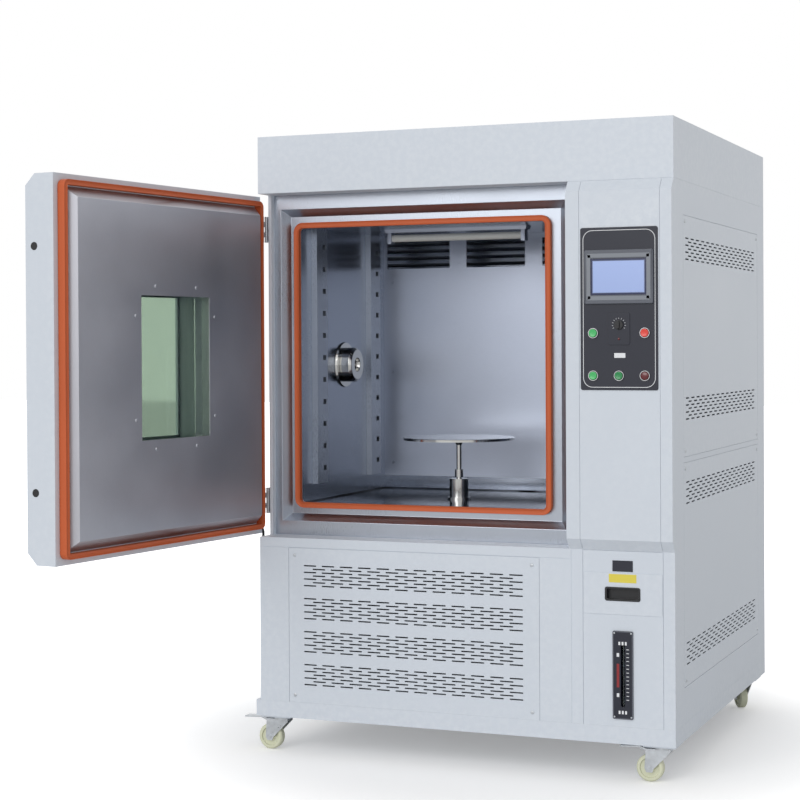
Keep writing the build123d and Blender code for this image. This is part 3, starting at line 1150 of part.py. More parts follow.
# Door cable between two glands
DOOR_GLAND_Z = DOOR_LOW + DOOR_GLAND_RISE
GLAND_Y = FRONT + CABLE_WALL_DEPTH


def make_gland(plane, radius, bore):
    """Cable gland: round flange, six-sided nut and a bore for the cable."""
    with BuildPart() as gland:
        with BuildSketch(plane):
            Circle(radius)
        extrude(amount=GLAND_LENGTH / 3)
        with BuildSketch(plane):
            RegularPolygon(radius - 1, 6)
        extrude(amount=GLAND_LENGTH)
        with BuildSketch(plane):
            Circle(bore)
        extrude(amount=GLAND_LENGTH, mode=Mode.SUBTRACT)
    return gland.part


cable_bore = CABLE_RADIUS + FIT_GAP
door_gland_seat = door_point(DOOR_U0, DOOR_GLAND_V, DOOR_GLAND_Z)
cable_gland_door = make_gland(Plane(door_gland_seat, z_dir=door_direction(-1, 0)), GLAND_RADIUS, cable_bore)
cable_gland_cabinet = make_gland(
    Plane((LEFT, GLAND_Y, CABLE_WALL_HEIGHT), z_dir=(-1, 0, 0)), GLAND_RADIUS, cable_bore
)
power_gland = make_gland(
    Plane((MAINS_GLAND_X, REAR, MAINS_GLAND_HEIGHT), z_dir=(0, 1, 0)), MAINS_GLAND_RADIUS, MAINS_GLAND_BORE
)

cable_run = DOOR_U0 - 2 * GLAND_LENGTH - 14
cable_start = door_point(DOOR_U0 - FIT_GAP, DOOR_GLAND_V, DOOR_GLAND_Z)
cable_corner = door_point(cable_run, DOOR_GLAND_V, DOOR_GLAND_Z)
cable_low = (cable_corner[0] - 2, GLAND_Y, CABLE_WALL_HEIGHT)
cable_end = (LEFT - FIT_GAP, GLAND_Y, CABLE_WALL_HEIGHT)
CABLE_BEND = 17
with BuildPart() as door_cable:
    with BuildLine():
        FilletPolyline(cable_start, cable_corner, cable_low, cable_end, radius=CABLE_BEND)
    with BuildSketch(Plane(cable_start, z_dir=door_direction(-1, 0))):
        Circle(CABLE_RADIUS)
    sweep()

# Casters: swivel forks with an axle each, wheels, and brake pedals at the front
AXLE_PLACE = (-CASTER_TRAIL, WHEEL_RADIUS)
FORK_TOP = CASTER_HEIGHT - CASTER_PLATE_THICKNESS - FIT_GAP
FORK_INNER = WHEEL_WIDTH / 2 + 1.5
FORK_OUTER = FORK_INNER + FORK_SHEET
PEDAL_PIVOT = (-CASTER_TRAIL - PEDAL_PIVOT_BACK, WHEEL_RADIUS + PEDAL_PIVOT_RISE)
PIVOT_RADIUS = 2.5


def make_fork():
    """Swivel fork with its king pin, its axle and the pivot pin of a pedal."""
    with BuildPart() as fork:
        with BuildSketch(Plane.XZ):
            Polygon(
                (24, FORK_TOP - 8),
                (24, FORK_TOP - 16),
                (AXLE_PLACE[0] + 13, AXLE_PLACE[1]),
                (AXLE_PLACE[0] + 8, AXLE_PLACE[1] - 11),
                (AXLE_PLACE[0] - 8, AXLE_PLACE[1] - 11),
                (AXLE_PLACE[0] - 13, AXLE_PLACE[1]),
                (PEDAL_PIVOT[0] - 7, PEDAL_PIVOT[1] - 3),
                (PEDAL_PIVOT[0] - 7, PEDAL_PIVOT[1] + 6),
                align=None,
            )
        extrude(amount=FORK_OUTER, both=True)
        block((-90, 90), (-FORK_INNER, FORK_INNER), (0, FORK_TOP - 15), Mode.SUBTRACT)
        block((-90, -26), (-FORK_INNER, FORK_INNER), (0, FORK_TOP), Mode.SUBTRACT)
        with BuildSketch(Plane.XY.offset(FORK_TOP - 10)):
            Circle(FORK_PLATE_RADIUS)
        extrude(amount=10)
        with BuildSketch(Plane.XY.offset(FORK_TOP)):
            Circle(KINGPIN_RADIUS)
        extrude(amount=10)
        with BuildSketch(Plane.XZ):
            with Locations(AXLE_PLACE):
                Circle(AXLE_RADIUS)
        extrude(amount=FORK_OUTER + 2, both=True)
        with BuildSketch(Plane.XZ):
            with Locations(PEDAL_PIVOT):
                Circle(PIVOT_RADIUS)
        extrude(amount=FORK_OUTER, both=True)
    return fork.part


def make_wheel():
    """Wheel with a rounded tread, a thinner web and a hub, bored for the axle."""
    with BuildPart() as wheel:
        with BuildSketch(Plane.YZ):
            half = WHEEL_WIDTH / 2
            Polygon(
                (-half - 1, AXLE_RADIUS + RUN_GAP),
                (-half - 1, 12),
                (-half + 5, 13),
                (-half + 5, WHEEL_RADIUS - 11),
                (-half, WHEEL_RADIUS - 10),
                (-half, WHEEL_RADIUS - 4),
                (-half + 4, WHEEL_RADIUS),
                (half - 4, WHEEL_RADIUS),
                (half, WHEEL_RADIUS - 4),
                (half, WHEEL_RADIUS - 10),
                (half - 5, WHEEL_RADIUS - 11),
                (half - 5, 13),
                (half + 1, 12),
                (half + 1, AXLE_RADIUS + RUN_GAP),
                align=None,
            )
        revolve(axis=Axis.Y)
    return Pos(AXLE_PLACE[0], 0, AXLE_PLACE[1]) * wheel.part


def make_pedal():
    """Foot pedal: a boss on the pivot pin and a cranked tread that points away from the fork."""
    with BuildPart() as pedal:
        with BuildSketch(Plane.XZ):
            with Locations(PEDAL_PIVOT):
                Circle(PIVOT_RADIUS + 2.5)
            Polygon(
                (PEDAL_PIVOT[0], PEDAL_PIVOT[1] - 3),
                (PEDAL_PIVOT[0], PEDAL_PIVOT[1] + 4),
                (PEDAL_PIVOT[0] - 26, PEDAL_PIVOT[1] + 12),
                (PEDAL_PIVOT[0] - PEDAL_LENGTH, PEDAL_PIVOT[1] + 9),
                (PEDAL_PIVOT[0] - PEDAL_LENGTH, PEDAL_PIVOT[1] + 5),
                (PEDAL_PIVOT[0] - 27, PEDAL_PIVOT[1] + 7),
                align=None,
            )
            with Locations(PEDAL_PIVOT):
                Circle(PIVOT_RADIUS + RUN_GAP, mode=Mode.SUBTRACT)
        extrude(amount=PEDAL_WIDTH / 2, both=True)
    return pedal.part


fork_shape = make_fork()
wheel_shape = make_wheel()
pedal_shape = make_pedal()
REAR_HEADING = -60
CASTER_NAMES = ("front_left", "front_right", "rear_left", "rear_right")
CASTER_HEADINGS = (0, 0, REAR_HEADING, REAR_HEADING)

PARTS = {
    "base_frame": base_frame.part,
    "cabinet_shell": cabinet_shell.part,
    "top_hood": top_hood.part,
    "control_column": control_column.part,
    "column_cover": column_cover.part,
    "control_panel": control_panel.part,
    "hmi_bezel": hmi_bezel.part,
    "hmi_screen": hmi_screen.part,
    "button_bezels": button_bezels.part,
    "run_button": run_button,
    "stop_button": stop_button,
    "light_button": light_button,
    "power_button": power_button,
    "fault_lamp": fault_lamp,
    "limit_knob": limit_knob.part,
    "lower_column_cover": lower_column_cover.part,
    "drawer": drawer.part,
    "drawer_handle": drawer_handle.part,
    "gauge_plate": gauge_plate.part,
    "gauge_tube": gauge_tube.part,
    "grille_panel": grille_panel.part,
    "side_panel_upper": side_panel_upper,
    "side_panel_lower": side_panel_lower,
    "cabinet_screws": cabinet_screws.part,
    "door_surround": door_surround.part,
    "cabinet_gasket": cabinet_gasket.part,
    "chamber_liner": chamber_liner.part,
    "port_sleeve": port_sleeve.part,
    "port_plug": port_plug_part,
    "shelf_rails": shelf_rails,
    "back_baffle": back_baffle.part,
    "floor_pan": floor_pan.part,
    "lamp_housing": lamp_housing.part,
    "lamp_tube": lamp_tube.part,
    "fan_wheel": fan_wheel.part,
    "bearing_housing": bearing_housing.part,
    "turntable_shaft": turntable_shaft_part,
    "turntable_disc": turntable_disc.part,
    "door_shell": door_shell.part,
    "door_liner": door_liner.part,
    "door_gasket": door_gasket.part,
    "window_panes": window_panes.part,
    "door_handle": door_handle.part,
    "latch_bolts": latch_bolts.part,
    "hinge_cabinet_leaves": hinge_cabinet_leaves.part,
    "hinge_door_leaves": hinge_door_leaves.part,
    "cable_gland_door": cable_gland_door,
    "cable_gland_cabinet": cable_gland_cabinet,
    "power_gland": power_gland,
    "door_cable": door_cable.part,
}
for corner, (x, y), heading in zip(CASTER_NAMES, CASTER_PLACES, CASTER_HEADINGS):
    place = Pos(x, y, 0) * Rot(0, 0, heading)
    PARTS[f"fork_{corner}"] = place * fork_shape
    PARTS[f"wheel_{corner}"] = place * wheel_shape
    if corner.startswith("front"):
        PARTS[f"pedal_{corner}"] = place * pedal_shape

# The finished frame has its origin on the floor under the middle of everything
outline = Compound(children=[copy(part) for part in PARTS.values()]).bounding_box()
to_frame = Pos(-outline.center().X, -outline.center().Y, -outline.min.Z)
os.makedirs("parts", exist_ok=True)
for name, part in PARTS.items():
    part = to_frame * part
    part.label = name
    export_step(part, f"parts/{name}.step")
    print(f"{name:24s} {len(part.solids()):3d} solids {part.volume:14.0f} mm3")

print(f"frame shift {to_frame.position.X:.4f} {to_frame.position.Y:.4f} {to_frame.position.Z:.4f}")
print(f"cable length {door_cable.part.volume / (3.14159265 * CABLE_RADIUS**2):.1f}, bends {CABLE_BEND}")
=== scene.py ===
"""Dresses the environmental test chamber: paint, steel, silicone, glass, controls, light and camera."""

import logging
import math
from contextlib import contextmanager
from dataclasses import dataclass
from enum import Enum
from typing import Callable, Iterator, Sequence

import bpy
from mathutils import Matrix, Vector


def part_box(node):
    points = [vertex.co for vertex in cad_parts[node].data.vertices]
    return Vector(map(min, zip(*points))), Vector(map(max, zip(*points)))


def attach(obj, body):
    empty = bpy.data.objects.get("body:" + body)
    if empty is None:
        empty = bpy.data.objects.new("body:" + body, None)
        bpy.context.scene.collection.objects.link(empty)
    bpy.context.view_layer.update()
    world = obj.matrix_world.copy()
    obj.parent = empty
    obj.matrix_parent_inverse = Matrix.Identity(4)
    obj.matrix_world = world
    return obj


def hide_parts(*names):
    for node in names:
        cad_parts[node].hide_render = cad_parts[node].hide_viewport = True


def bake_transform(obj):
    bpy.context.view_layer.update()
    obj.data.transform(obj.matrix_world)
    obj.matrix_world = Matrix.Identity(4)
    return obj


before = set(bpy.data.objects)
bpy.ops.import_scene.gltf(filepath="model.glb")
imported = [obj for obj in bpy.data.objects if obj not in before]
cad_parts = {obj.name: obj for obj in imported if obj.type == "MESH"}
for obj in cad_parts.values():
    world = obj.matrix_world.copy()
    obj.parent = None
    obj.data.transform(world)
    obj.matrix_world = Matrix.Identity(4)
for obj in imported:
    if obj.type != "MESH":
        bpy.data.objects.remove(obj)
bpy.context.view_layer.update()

MM = 0.001
Colour = tuple[float, float, float, float]
log = logging.getLogger("test_chamber")


class Brush(Enum):
    """Stretch of the grain in the direction in which a sheet was brushed."""

    NONE = (1.0, 1.0, 1.0)
    ACROSS = (1.0, 40.0, 40.0)
    DEEP = (40.0, 1.0, 40.0)
    UPRIGHT = (40.0, 40.0, 1.0)
    TURNED = (12.0, 12.0, 12.0)


class Facing(Enum):
    """Direction that a panel or fitting faces."""

    FRONT = (0.0, -1.0, 0.0)
    RIGHT = (1.0, 0.0, 0.0)

    def vector(self) -> Vector:
        """Direction as a vector."""
        return Vector(self.value)


@dataclass(frozen=True)
class Site:
    """Turns the cabinet's own millimetres into metres of the row frame.

    x runs right from the cabinet's middle, depth runs back from its front, height runs up from the floor.
    """

    centre: float
    front: float
    door_turn: float = math.radians(97)
    hinge_x: float = -632.0
    hinge_depth: float = 80.0

    def at(self, x: float, depth: float, height: float) -> Vector:
        """Place on the cabinet.

        Args:
            x: Millimetres to the right of the middle.
            depth: Millimetres behind the front.
            height: Millimetres above the floor.

        Returns:
            The place in metres.
        """
        return Vector((self.centre + x * MM, self.front + depth * MM, height * MM))

    def on_door(self, across: float, through: float, height: float) -> Vector:
        """Place on the open door.

        Args:
            across: Millimetres from the hinge axis along the door.
            through: Millimetres through its thickness, towards its inner face.
            height: Millimetres above the floor.

        Returns:
            The place in metres.
        """
        cos, sin = math.cos(self.door_turn), math.sin(self.door_turn)
        x = self.hinge_x + across * cos + through * sin
        depth = self.hinge_depth - across * sin + through * cos
        return self.at(x, depth, height)

    def door_normal(self) -> Vector:
        """Direction that the open door's inner face looks in."""
        return Vector((math.sin(self.door_turn), math.cos(self.door_turn), 0.0))


HOOD_LOW, HOOD_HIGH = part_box("top_hood")
SITE = Site((HOOD_LOW.x + HOOD_HIGH.x) / 2, HOOD_LOW.y)


def tone(red: int, green: int, blue: int) -> Colour:
    """Colour of a finish as a shader takes it.

    Args:
        red: Red, 0 to 255 as the eye sees it.
        green: Green, 0 to 255.
        blue: Blue, 0 to 255.

    Returns:
        The linear colour with full alpha.
    """
    parts = []
    for value in (red, green, blue):
        share = value / 255
        parts.append(share / 12.92 if share <= 0.04045 else ((share + 0.055) / 1.055) ** 2.4)
    return (parts[0], parts[1], parts[2], 1.0)


def scaled(colour: Colour, share: float) -> Colour:
    """Lighter or darker colour, never past white."""
    red, green, blue = (min(1.0, part * share) for part in colour[:3])
    return (red, green, blue, 1.0)


# Modelling steps


def pick(*objects: bpy.types.Object) -> None:
    """Makes these objects the only selected ones.

    Args:
        *objects: The objects; the first one becomes the active one.
    """
    bpy.ops.object.select_all(action="DESELECT")
    for obj in objects:
        obj.select_set(True)
    bpy.context.view_layer.objects.active = objects[0]


@contextmanager
def editing(obj: bpy.types.Object, parts: str = "FACE") -> Iterator[None]:
    """Edit mode on one object, keeping what was selected in code.

    Args:
        obj: The mesh object.
        parts: What is selected: VERT, EDGE or FACE.

    Returns:
        The block in which the object is edited.
    """
    pick(obj)
    bpy.ops.object.mode_set(mode="EDIT")
    bpy.ops.mesh.select_mode(type=parts)
    yield
    bpy.ops.object.mode_set(mode="OBJECT")


def select_faces(obj: bpy.types.Object, test: Callable[[Vector, Vector], bool]) -> None:
    """Selects faces by their place and direction.

    Args:
        obj: The mesh object, in object mode.
        test: Takes a face's centre and normal, and says if it is meant.
    """
    with editing(obj):
        bpy.ops.mesh.select_all(action="DESELECT")
    for face in obj.data.polygons:
        face.select = test(face.center, face.normal)


def select_edges(obj: bpy.types.Object, test: Callable[[Vector], bool]) -> None:
    """Selects edges by their run.

    Args:
        obj: The mesh object, in object mode.
        test: Takes the way from one end of an edge to the other, and says if it is meant.
    """
    with editing(obj, "EDGE"):
        bpy.ops.mesh.select_all(action="DESELECT")
    for edge in obj.data.edges:
        first, second = (obj.data.vertices[index].co for index in edge.vertices)
        edge.select = test(second - first)


def settle(obj: bpy.types.Object) -> bpy.types.Object:
    """Puts the object's place, turn and size into its mesh.

    Args:
        obj: The object.

    Returns:
        The same object.
    """
    pick(obj)
    bpy.ops.object.transform_apply(location=True, rotation=True, scale=True)
    return obj


def turned_towards(obj: bpy.types.Object, base: Vector, facing: Vector) -> bpy.types.Object:
    """Stands a piece that was made looking up onto a face.

    Args:
        obj: The piece, made at the origin with its axis up.
        base: Where its origin goes.
        facing: Direction that its axis takes.

    Returns:
        The same object.
    """
    turn = Vector((0, 0, 1)).rotation_difference(facing).to_matrix().to_4x4()
    obj.data.transform(Matrix.Translation(base) @ turn)
    return obj


def block(name: str, low: Vector, high: Vector) -> bpy.types.Object:
    """Adds a block between two corners.

    Args:
        name: Name of the piece.
        low: Its lowest corner.
        high: Its highest corner.

    Returns:
        The new object.
    """
    bpy.ops.object.select_all(action="DESELECT")
    bpy.ops.mesh.primitive_cube_add(size=1, location=(low + high) / 2, scale=high - low)
    obj = bpy.context.object
    obj.name = name
    return settle(obj)


def turned(
    name: str, base: Vector, facing: Vector, profile: Sequence[tuple[float, float]], sides: int = 40
) -> bpy.types.Object:
    """Turns a round piece: a disc that is extruded and resized step by step.

    Args:
        name: Name of the piece.
        base: Centre of its foot.
        facing: Direction of its axis.
        profile: Radius and height of each step, in millimetres.
        sides: Number of sides round the axis.

    Returns:
        The new object.
    """
    bpy.ops.object.select_all(action="DESELECT")
    radius, level = profile[0]
    bpy.ops.mesh.primitive_circle_add(
        vertices=sides, radius=radius * MM, fill_type="NGON", location=(0, 0, level * MM)
    )
    obj = bpy.context.object
    obj.name = name
    settle(obj)
    with editing(obj):
        bpy.ops.mesh.select_all(action="SELECT")
        for wide, high in profile[1:]:
            bpy.ops.mesh.extrude_region_move(TRANSFORM_OT_translate={"value": (0, 0, (high - level) * MM)})
            scale = wide / radius
            bpy.ops.transform.resize(value=(scale, scale, 1), center_override=(0, 0, high * MM))
            radius, level = wide, high
        bpy.ops.mesh.select_all(action="SELECT")
        bpy.ops.mesh.normals_make_consistent(inside=False)
    return turned_towards(obj, base, facing)


def bevel(obj: bpy.types.Object, width: float, steps: int = 2, angle: float = 35) -> bpy.types.Object:
    """Rounds the sharp edges.

    Args:
        obj: The object.
        width: Width of the round, in millimetres.
        steps: Number of segments.
        angle: Edges sharper than this many degrees are rounded.

    Returns:
        The same object.
    """
    pick(obj)
    modifier = obj.modifiers.new("round", "BEVEL")
    modifier.width = width * MM
    modifier.segments = steps
    modifier.limit_method = "ANGLE"
    modifier.angle_limit = math.radians(angle)
    bpy.ops.object.modifier_apply(modifier=modifier.name)
    return obj


def smooth(obj: bpy.types.Object, angle: float = 32) -> bpy.types.Object:
    """Shades rounds smoothly and keeps the large faces flat.

    Args:
        obj: The object.
        angle: Faces that meet at more than this many degrees keep a sharp edge.

    Returns:
        The same object.
    """
    pick(obj)
    bpy.ops.object.shade_smooth_by_angle(angle=math.radians(angle))
    modifier = obj.modifiers.new("flat_faces", "WEIGHTED_NORMAL")
    modifier.keep_sharp = True
    modifier.weight = 100
    bpy.ops.object.modifier_apply(modifier=modifier.name)
    return obj


def row(obj: bpy.types.Object, count: int, step: Vector) -> bpy.types.Object:
    """Repeats the mesh in a row.

    Args:
        obj: The object to repeat.
        count: How many there are in the row.
        step: From one to the next, in metres.

    Returns:
        The same object, now holding the row.
    """
    pick(obj)
    modifier = obj.modifiers.new("row", "ARRAY")
    modifier.count = count
    modifier.use_relative_offset = False
    modifier.use_constant_offset = True
    modifier.constant_offset_displace = step
    bpy.ops.object.modifier_apply(modifier=modifier.name)
    return obj


def join(*objects: bpy.types.Object) -> bpy.types.Object:
    """Joins meshes.

    Args:
        *objects: The objects; all go into the first one.

    Returns:
        The first object.
    """
    pick(*objects)
    bpy.ops.object.join()
    return objects[0]


def cut(obj: bpy.types.Object, cutter: bpy.types.Object) -> bpy.types.Object:
    """Cuts one mesh out of another.

    Args:
        obj: The object to cut.
        cutter: What is cut out of it, which is removed afterwards.

    Returns:
        The cut object.
    """
    pick(obj)
    modifier = obj.modifiers.new("cut", "BOOLEAN")
    modifier.operation = "DIFFERENCE"
    modifier.solver = "EXACT"
    modifier.object = cutter
    bpy.ops.object.modifier_apply(modifier=modifier.name)
    bpy.data.objects.remove(cutter)
    return obj


def copied(obj: bpy.types.Object, shift: Vector) -> bpy.types.Object:
    """Copies a piece with a mesh of its own.

    Args:
        obj: The piece to copy.
        shift: How far the copy stands from it.

    Returns:
        The copy.
    """
    twin = bpy.data.objects.new(f"{obj.name}_copy", obj.data.copy())
    bpy.context.scene.collection.objects.link(twin)
    twin.data.transform(Matrix.Translation(shift))
    return twin


def ring(
    name: str, centre: Vector, facing: Vector, size: tuple[float, float], corner: float, line: float, proud: float
) -> bpy.types.Object:
    """Flat frame with round corners: a plane that is rounded, inset, hollowed and raised.

    Args:
        name: Name of the piece.
        centre: Middle of the frame, on the face that it lies on.
        facing: Direction that the face looks in.
        size: Outer width and height, in millimetres.
        corner: Outer corner radius, in millimetres.
        line: Width of the frame's line, in millimetres.
        proud: How far it stands out, in millimetres.

    Returns:
        The new object.
    """
    bpy.ops.object.select_all(action="DESELECT")
    bpy.ops.mesh.primitive_plane_add(size=1)
    obj = bpy.context.object
    obj.name = name
    obj.scale = (size[0] * MM, size[1] * MM, 1)
    settle(obj)
    with editing(obj, "VERT"):
        bpy.ops.mesh.select_all(action="SELECT")
        bpy.ops.mesh.bevel(offset=corner * MM, offset_type="OFFSET", segments=8, affect="VERTICES")
        bpy.ops.mesh.select_mode(type="FACE")
        bpy.ops.mesh.select_all(action="SELECT")
        bpy.ops.mesh.inset(thickness=line * MM, depth=0)
        bpy.ops.mesh.delete(type="ONLY_FACE")
        bpy.ops.mesh.select_all(action="SELECT")
        bpy.ops.mesh.extrude_region_move(TRANSFORM_OT_translate={"value": (0, 0, proud * MM)})
        bpy.ops.mesh.select_all(action="SELECT")
        bpy.ops.mesh.normals_make_consistent(inside=False)
    across = Vector((0, 0, 1)).cross(facing).normalized()
    turn = Matrix((across, facing.cross(across), facing)).transposed().to_4x4()
    obj.data.transform(Matrix.Translation(centre) @ turn)
    return obj


def softened(node: str, width: float, steps: int = 2, angle: float = 30, flat: float = 1.0) -> bpy.types.Object:
    """Copy of a solid with rounded edges.

    Args:
        node: Name of the solid.
        width: Width of the round, in millimetres.
        steps: Number of segments.
        angle: Edges sharper than this many degrees are rounded.
        flat: Faces that meet at less than this many degrees become one.

    Returns:
        The new object, which doesn't ride on a body yet.
    """
    obj = bpy.data.objects.new(f"{node}_dressed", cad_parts[node].data.copy())
    bpy.context.scene.collection.objects.link(obj)
    obj.data.materials.clear()
    with editing(obj):
        bpy.ops.mesh.customdata_custom_splitnormals_clear()
        bpy.ops.mesh.select_all(action="SELECT")
        bpy.ops.mesh.remove_doubles(threshold=0.00001)
        bpy.ops.mesh.dissolve_limited(angle_limit=math.radians(flat))
    return smooth(bevel(obj, width, steps, angle))


# Shared effects


class Bench:
    """Wiring of one node tree."""

    def __init__(self, tree: bpy.types.NodeTree) -> None:
        """Takes the tree and empties it."""
        self.tree = tree
        tree.nodes.clear()

    def add(self, kind: str, **values: object) -> bpy.types.Node:
        """Adds a node.

        Args:
            kind: Node type, without ShaderNode before it.
            **values: Properties of the node.

        Returns:
            The node.
        """
        node = self.tree.nodes.new(kind if kind.startswith("Node") else f"ShaderNode{kind}")
        for name, value in values.items():
            setattr(node, name, value)
        return node

    def wire(self, source: bpy.types.NodeSocket, target: bpy.types.NodeSocket) -> None:
        """Links one socket to another."""
        self.tree.links.new(source, target)

    def noise(self, place: bpy.types.NodeSocket, scale: float, detail: float) -> bpy.types.NodeSocket:
        """Noise over a place.

        Args:
            place: The coordinates.
            scale: Its scale.
            detail: Its detail.

        Returns:
            The value, 0 to 1.
        """
        node = self.add("TexNoise")
        node.inputs["Scale"].default_value = scale
        node.inputs["Detail"].default_value = detail
        self.wire(place, node.inputs["Vector"])
        return node.outputs["Fac"]

    def maths(self, operation: str, *terms: bpy.types.NodeSocket | float) -> bpy.types.NodeSocket:
        """Sum on values.

        Args:
            operation: Name of the sum.
            *terms: Its terms, each a socket or a number.

        Returns:
            The result.
        """
        node = self.add("Math", operation=operation)
        for number, term in enumerate(terms):
            if isinstance(term, (int, float)):
                node.inputs[number].default_value = term
            else:
                self.wire(term, node.inputs[number])
        return node.outputs[0]

    def spread(
        self, value: bpy.types.NodeSocket, low: float, high: float, to_low: float = 0.0, to_high: float = 1.0
    ) -> bpy.types.NodeSocket:
        """Stretches one range of a value over another.

        Args:
            value: The value.
            low: Low end of its range.
            high: High end of its range.
            to_low: Result at the low end.
            to_high: Result at the high end.

        Returns:
            The result, kept within its range.
        """
        node = self.add("MapRange")
        for name, number in zip(("From Min", "From Max", "To Min", "To Max"), (low, high, to_low, to_high)):
            node.inputs[name].default_value = number
        self.wire(value, node.inputs["Value"])
        return node.outputs[0]

    def mix(
        self,
        factor: bpy.types.NodeSocket,
        first: bpy.types.NodeSocket | Colour,
        second: bpy.types.NodeSocket | Colour,
    ) -> bpy.types.NodeSocket:
        """Mixes two colours.

        Args:
            factor: Share of the second colour.
            first: The first colour, a socket or a colour.
            second: The second colour, a socket or a colour.

        Returns:
            The mixed colour.
        """
        node = self.add("Mix", data_type="RGBA")
        self.wire(factor, node.inputs["Factor"])
        for name, colour in (("A", first), ("B", second)):
            if isinstance(colour, tuple):
                node.inputs[name].default_value = colour
            else:
                self.wire(colour, node.inputs[name])
        return node.outputs["Result"]

    def effect(self, tree: bpy.types.NodeTree, place: bpy.types.NodeSocket, **values: object) -> bpy.types.Node:
        """Adds one of the shared effects.

        Args:
            tree: The effect's node group.
            place: The coordinates.
            **values: What its sockets are set to.

        Returns:
            The group node.
        """
        node = self.add("Group")
        node.node_tree = tree
        for name, value in values.items():
            node.inputs[name].default_value = value
        self.wire(place, node.inputs["Vector"])
        return node


def effect_group(
    name: str, inputs: Sequence[tuple[str, str, object]], outputs: Sequence[tuple[str, str]]
) -> bpy.types.NodeTree:
    """Starts a node group with its sockets.

    Args:
        name: Name of the group.
        inputs: Name, socket type and default of each input after Vector.
        outputs: Name and socket type of each output.

    Returns:
        The node group.
    """
    tree = bpy.data.node_groups.new(name, "ShaderNodeTree")
    tree.interface.new_socket("Vector", in_out="INPUT", socket_type="NodeSocketVector")
    for label, kind, default in inputs:
        socket = tree.interface.new_socket(label, in_out="INPUT", socket_type=f"NodeSocket{kind}")
        socket.default_value = default
    for label, kind in outputs:
        tree.interface.new_socket(label, in_out="OUTPUT", socket_type=f"NodeSocket{kind}")
    return tree


def grain_group() -> bpy.types.NodeTree:
    """Fine grain that may be drawn out in one direction: a value and a bumped normal.

    Returns:
        The node group.
    """
    inputs = [("Stretch", "Vector", (1, 1, 1)), ("Scale", "Float", 100.0), ("Depth", "Float", 0.1)]
    tree = effect_group("grain", inputs, [("Value", "Float"), ("Normal", "Vector")])
    bench = Bench(tree)
    source = bench.add("NodeGroupInput")
    end = bench.add("NodeGroupOutput")
    stretch = bench.add("VectorMath", operation="MULTIPLY")
    bench.wire(source.outputs["Vector"], stretch.inputs[0])
    bench.wire(source.outputs["Stretch"], stretch.inputs[1])
    noise = bench.add("TexNoise")
    noise.inputs["Detail"].default_value = 3
    noise.inputs["Roughness"].default_value = 0.6
    bench.wire(stretch.outputs[0], noise.inputs["Vector"])
    bench.wire(source.outputs["Scale"], noise.inputs["Scale"])
    bump = bench.add("Bump")
    bump.inputs["Distance"].default_value = 0.4 * MM
    bench.wire(noise.outputs["Fac"], bump.inputs["Height"])
    bench.wire(source.outputs["Depth"], bump.inputs["Strength"])
    bench.wire(noise.outputs["Fac"], end.inputs["Value"])
    bench.wire(bump.outputs["Normal"], end.inputs["Normal"])
    return tree


def wear_group() -> bpy.types.NodeTree:
    """Mask of worn edges, broken up by noise.

    Returns:
        The node group.
    """
    tree = effect_group("edge_wear", [("Amount", "Float", 0.3)], [("Mask", "Float")])
    bench = Bench(tree)
    source = bench.add("NodeGroupInput")
    end = bench.add("NodeGroupOutput")
    edge = bench.spread(bench.add("NewGeometry").outputs["Pointiness"], 0.52, 0.60)
    patch = bench.spread(bench.noise(source.outputs["Vector"], 60, 2), 0.40, 0.65)
    mask = bench.maths("MULTIPLY", bench.maths("MULTIPLY", edge, patch), source.outputs["Amount"])
    bench.wire(mask, end.inputs["Mask"])
    return tree


def dust_group() -> bpy.types.NodeTree:
    """Mask of dust that settles on what faces up.

    Returns:
        The node group.
    """
    tree = effect_group("dust", [("Amount", "Float", 0.2)], [("Mask", "Float")])
    bench = Bench(tree)
    source = bench.add("NodeGroupInput")
    end = bench.add("NodeGroupOutput")
    split = bench.add("SeparateXYZ")
    bench.wire(bench.add("NewGeometry").outputs["Normal"], split.inputs[0])
    upward = bench.spread(split.outputs["Z"], 0.5, 1.0)
    patch = bench.noise(source.outputs["Vector"], 9, 6)
    mask = bench.maths("MULTIPLY", bench.maths("MULTIPLY", upward, patch), source.outputs["Amount"])
    bench.wire(mask, end.inputs["Mask"])
    return tree


GRAIN = grain_group()
EDGE_WEAR = wear_group()
DUST = dust_group()
DUST_COLOUR = tone(200, 198, 192)
NOISE_SPAN = (0.7, 1.3)


# Finishes


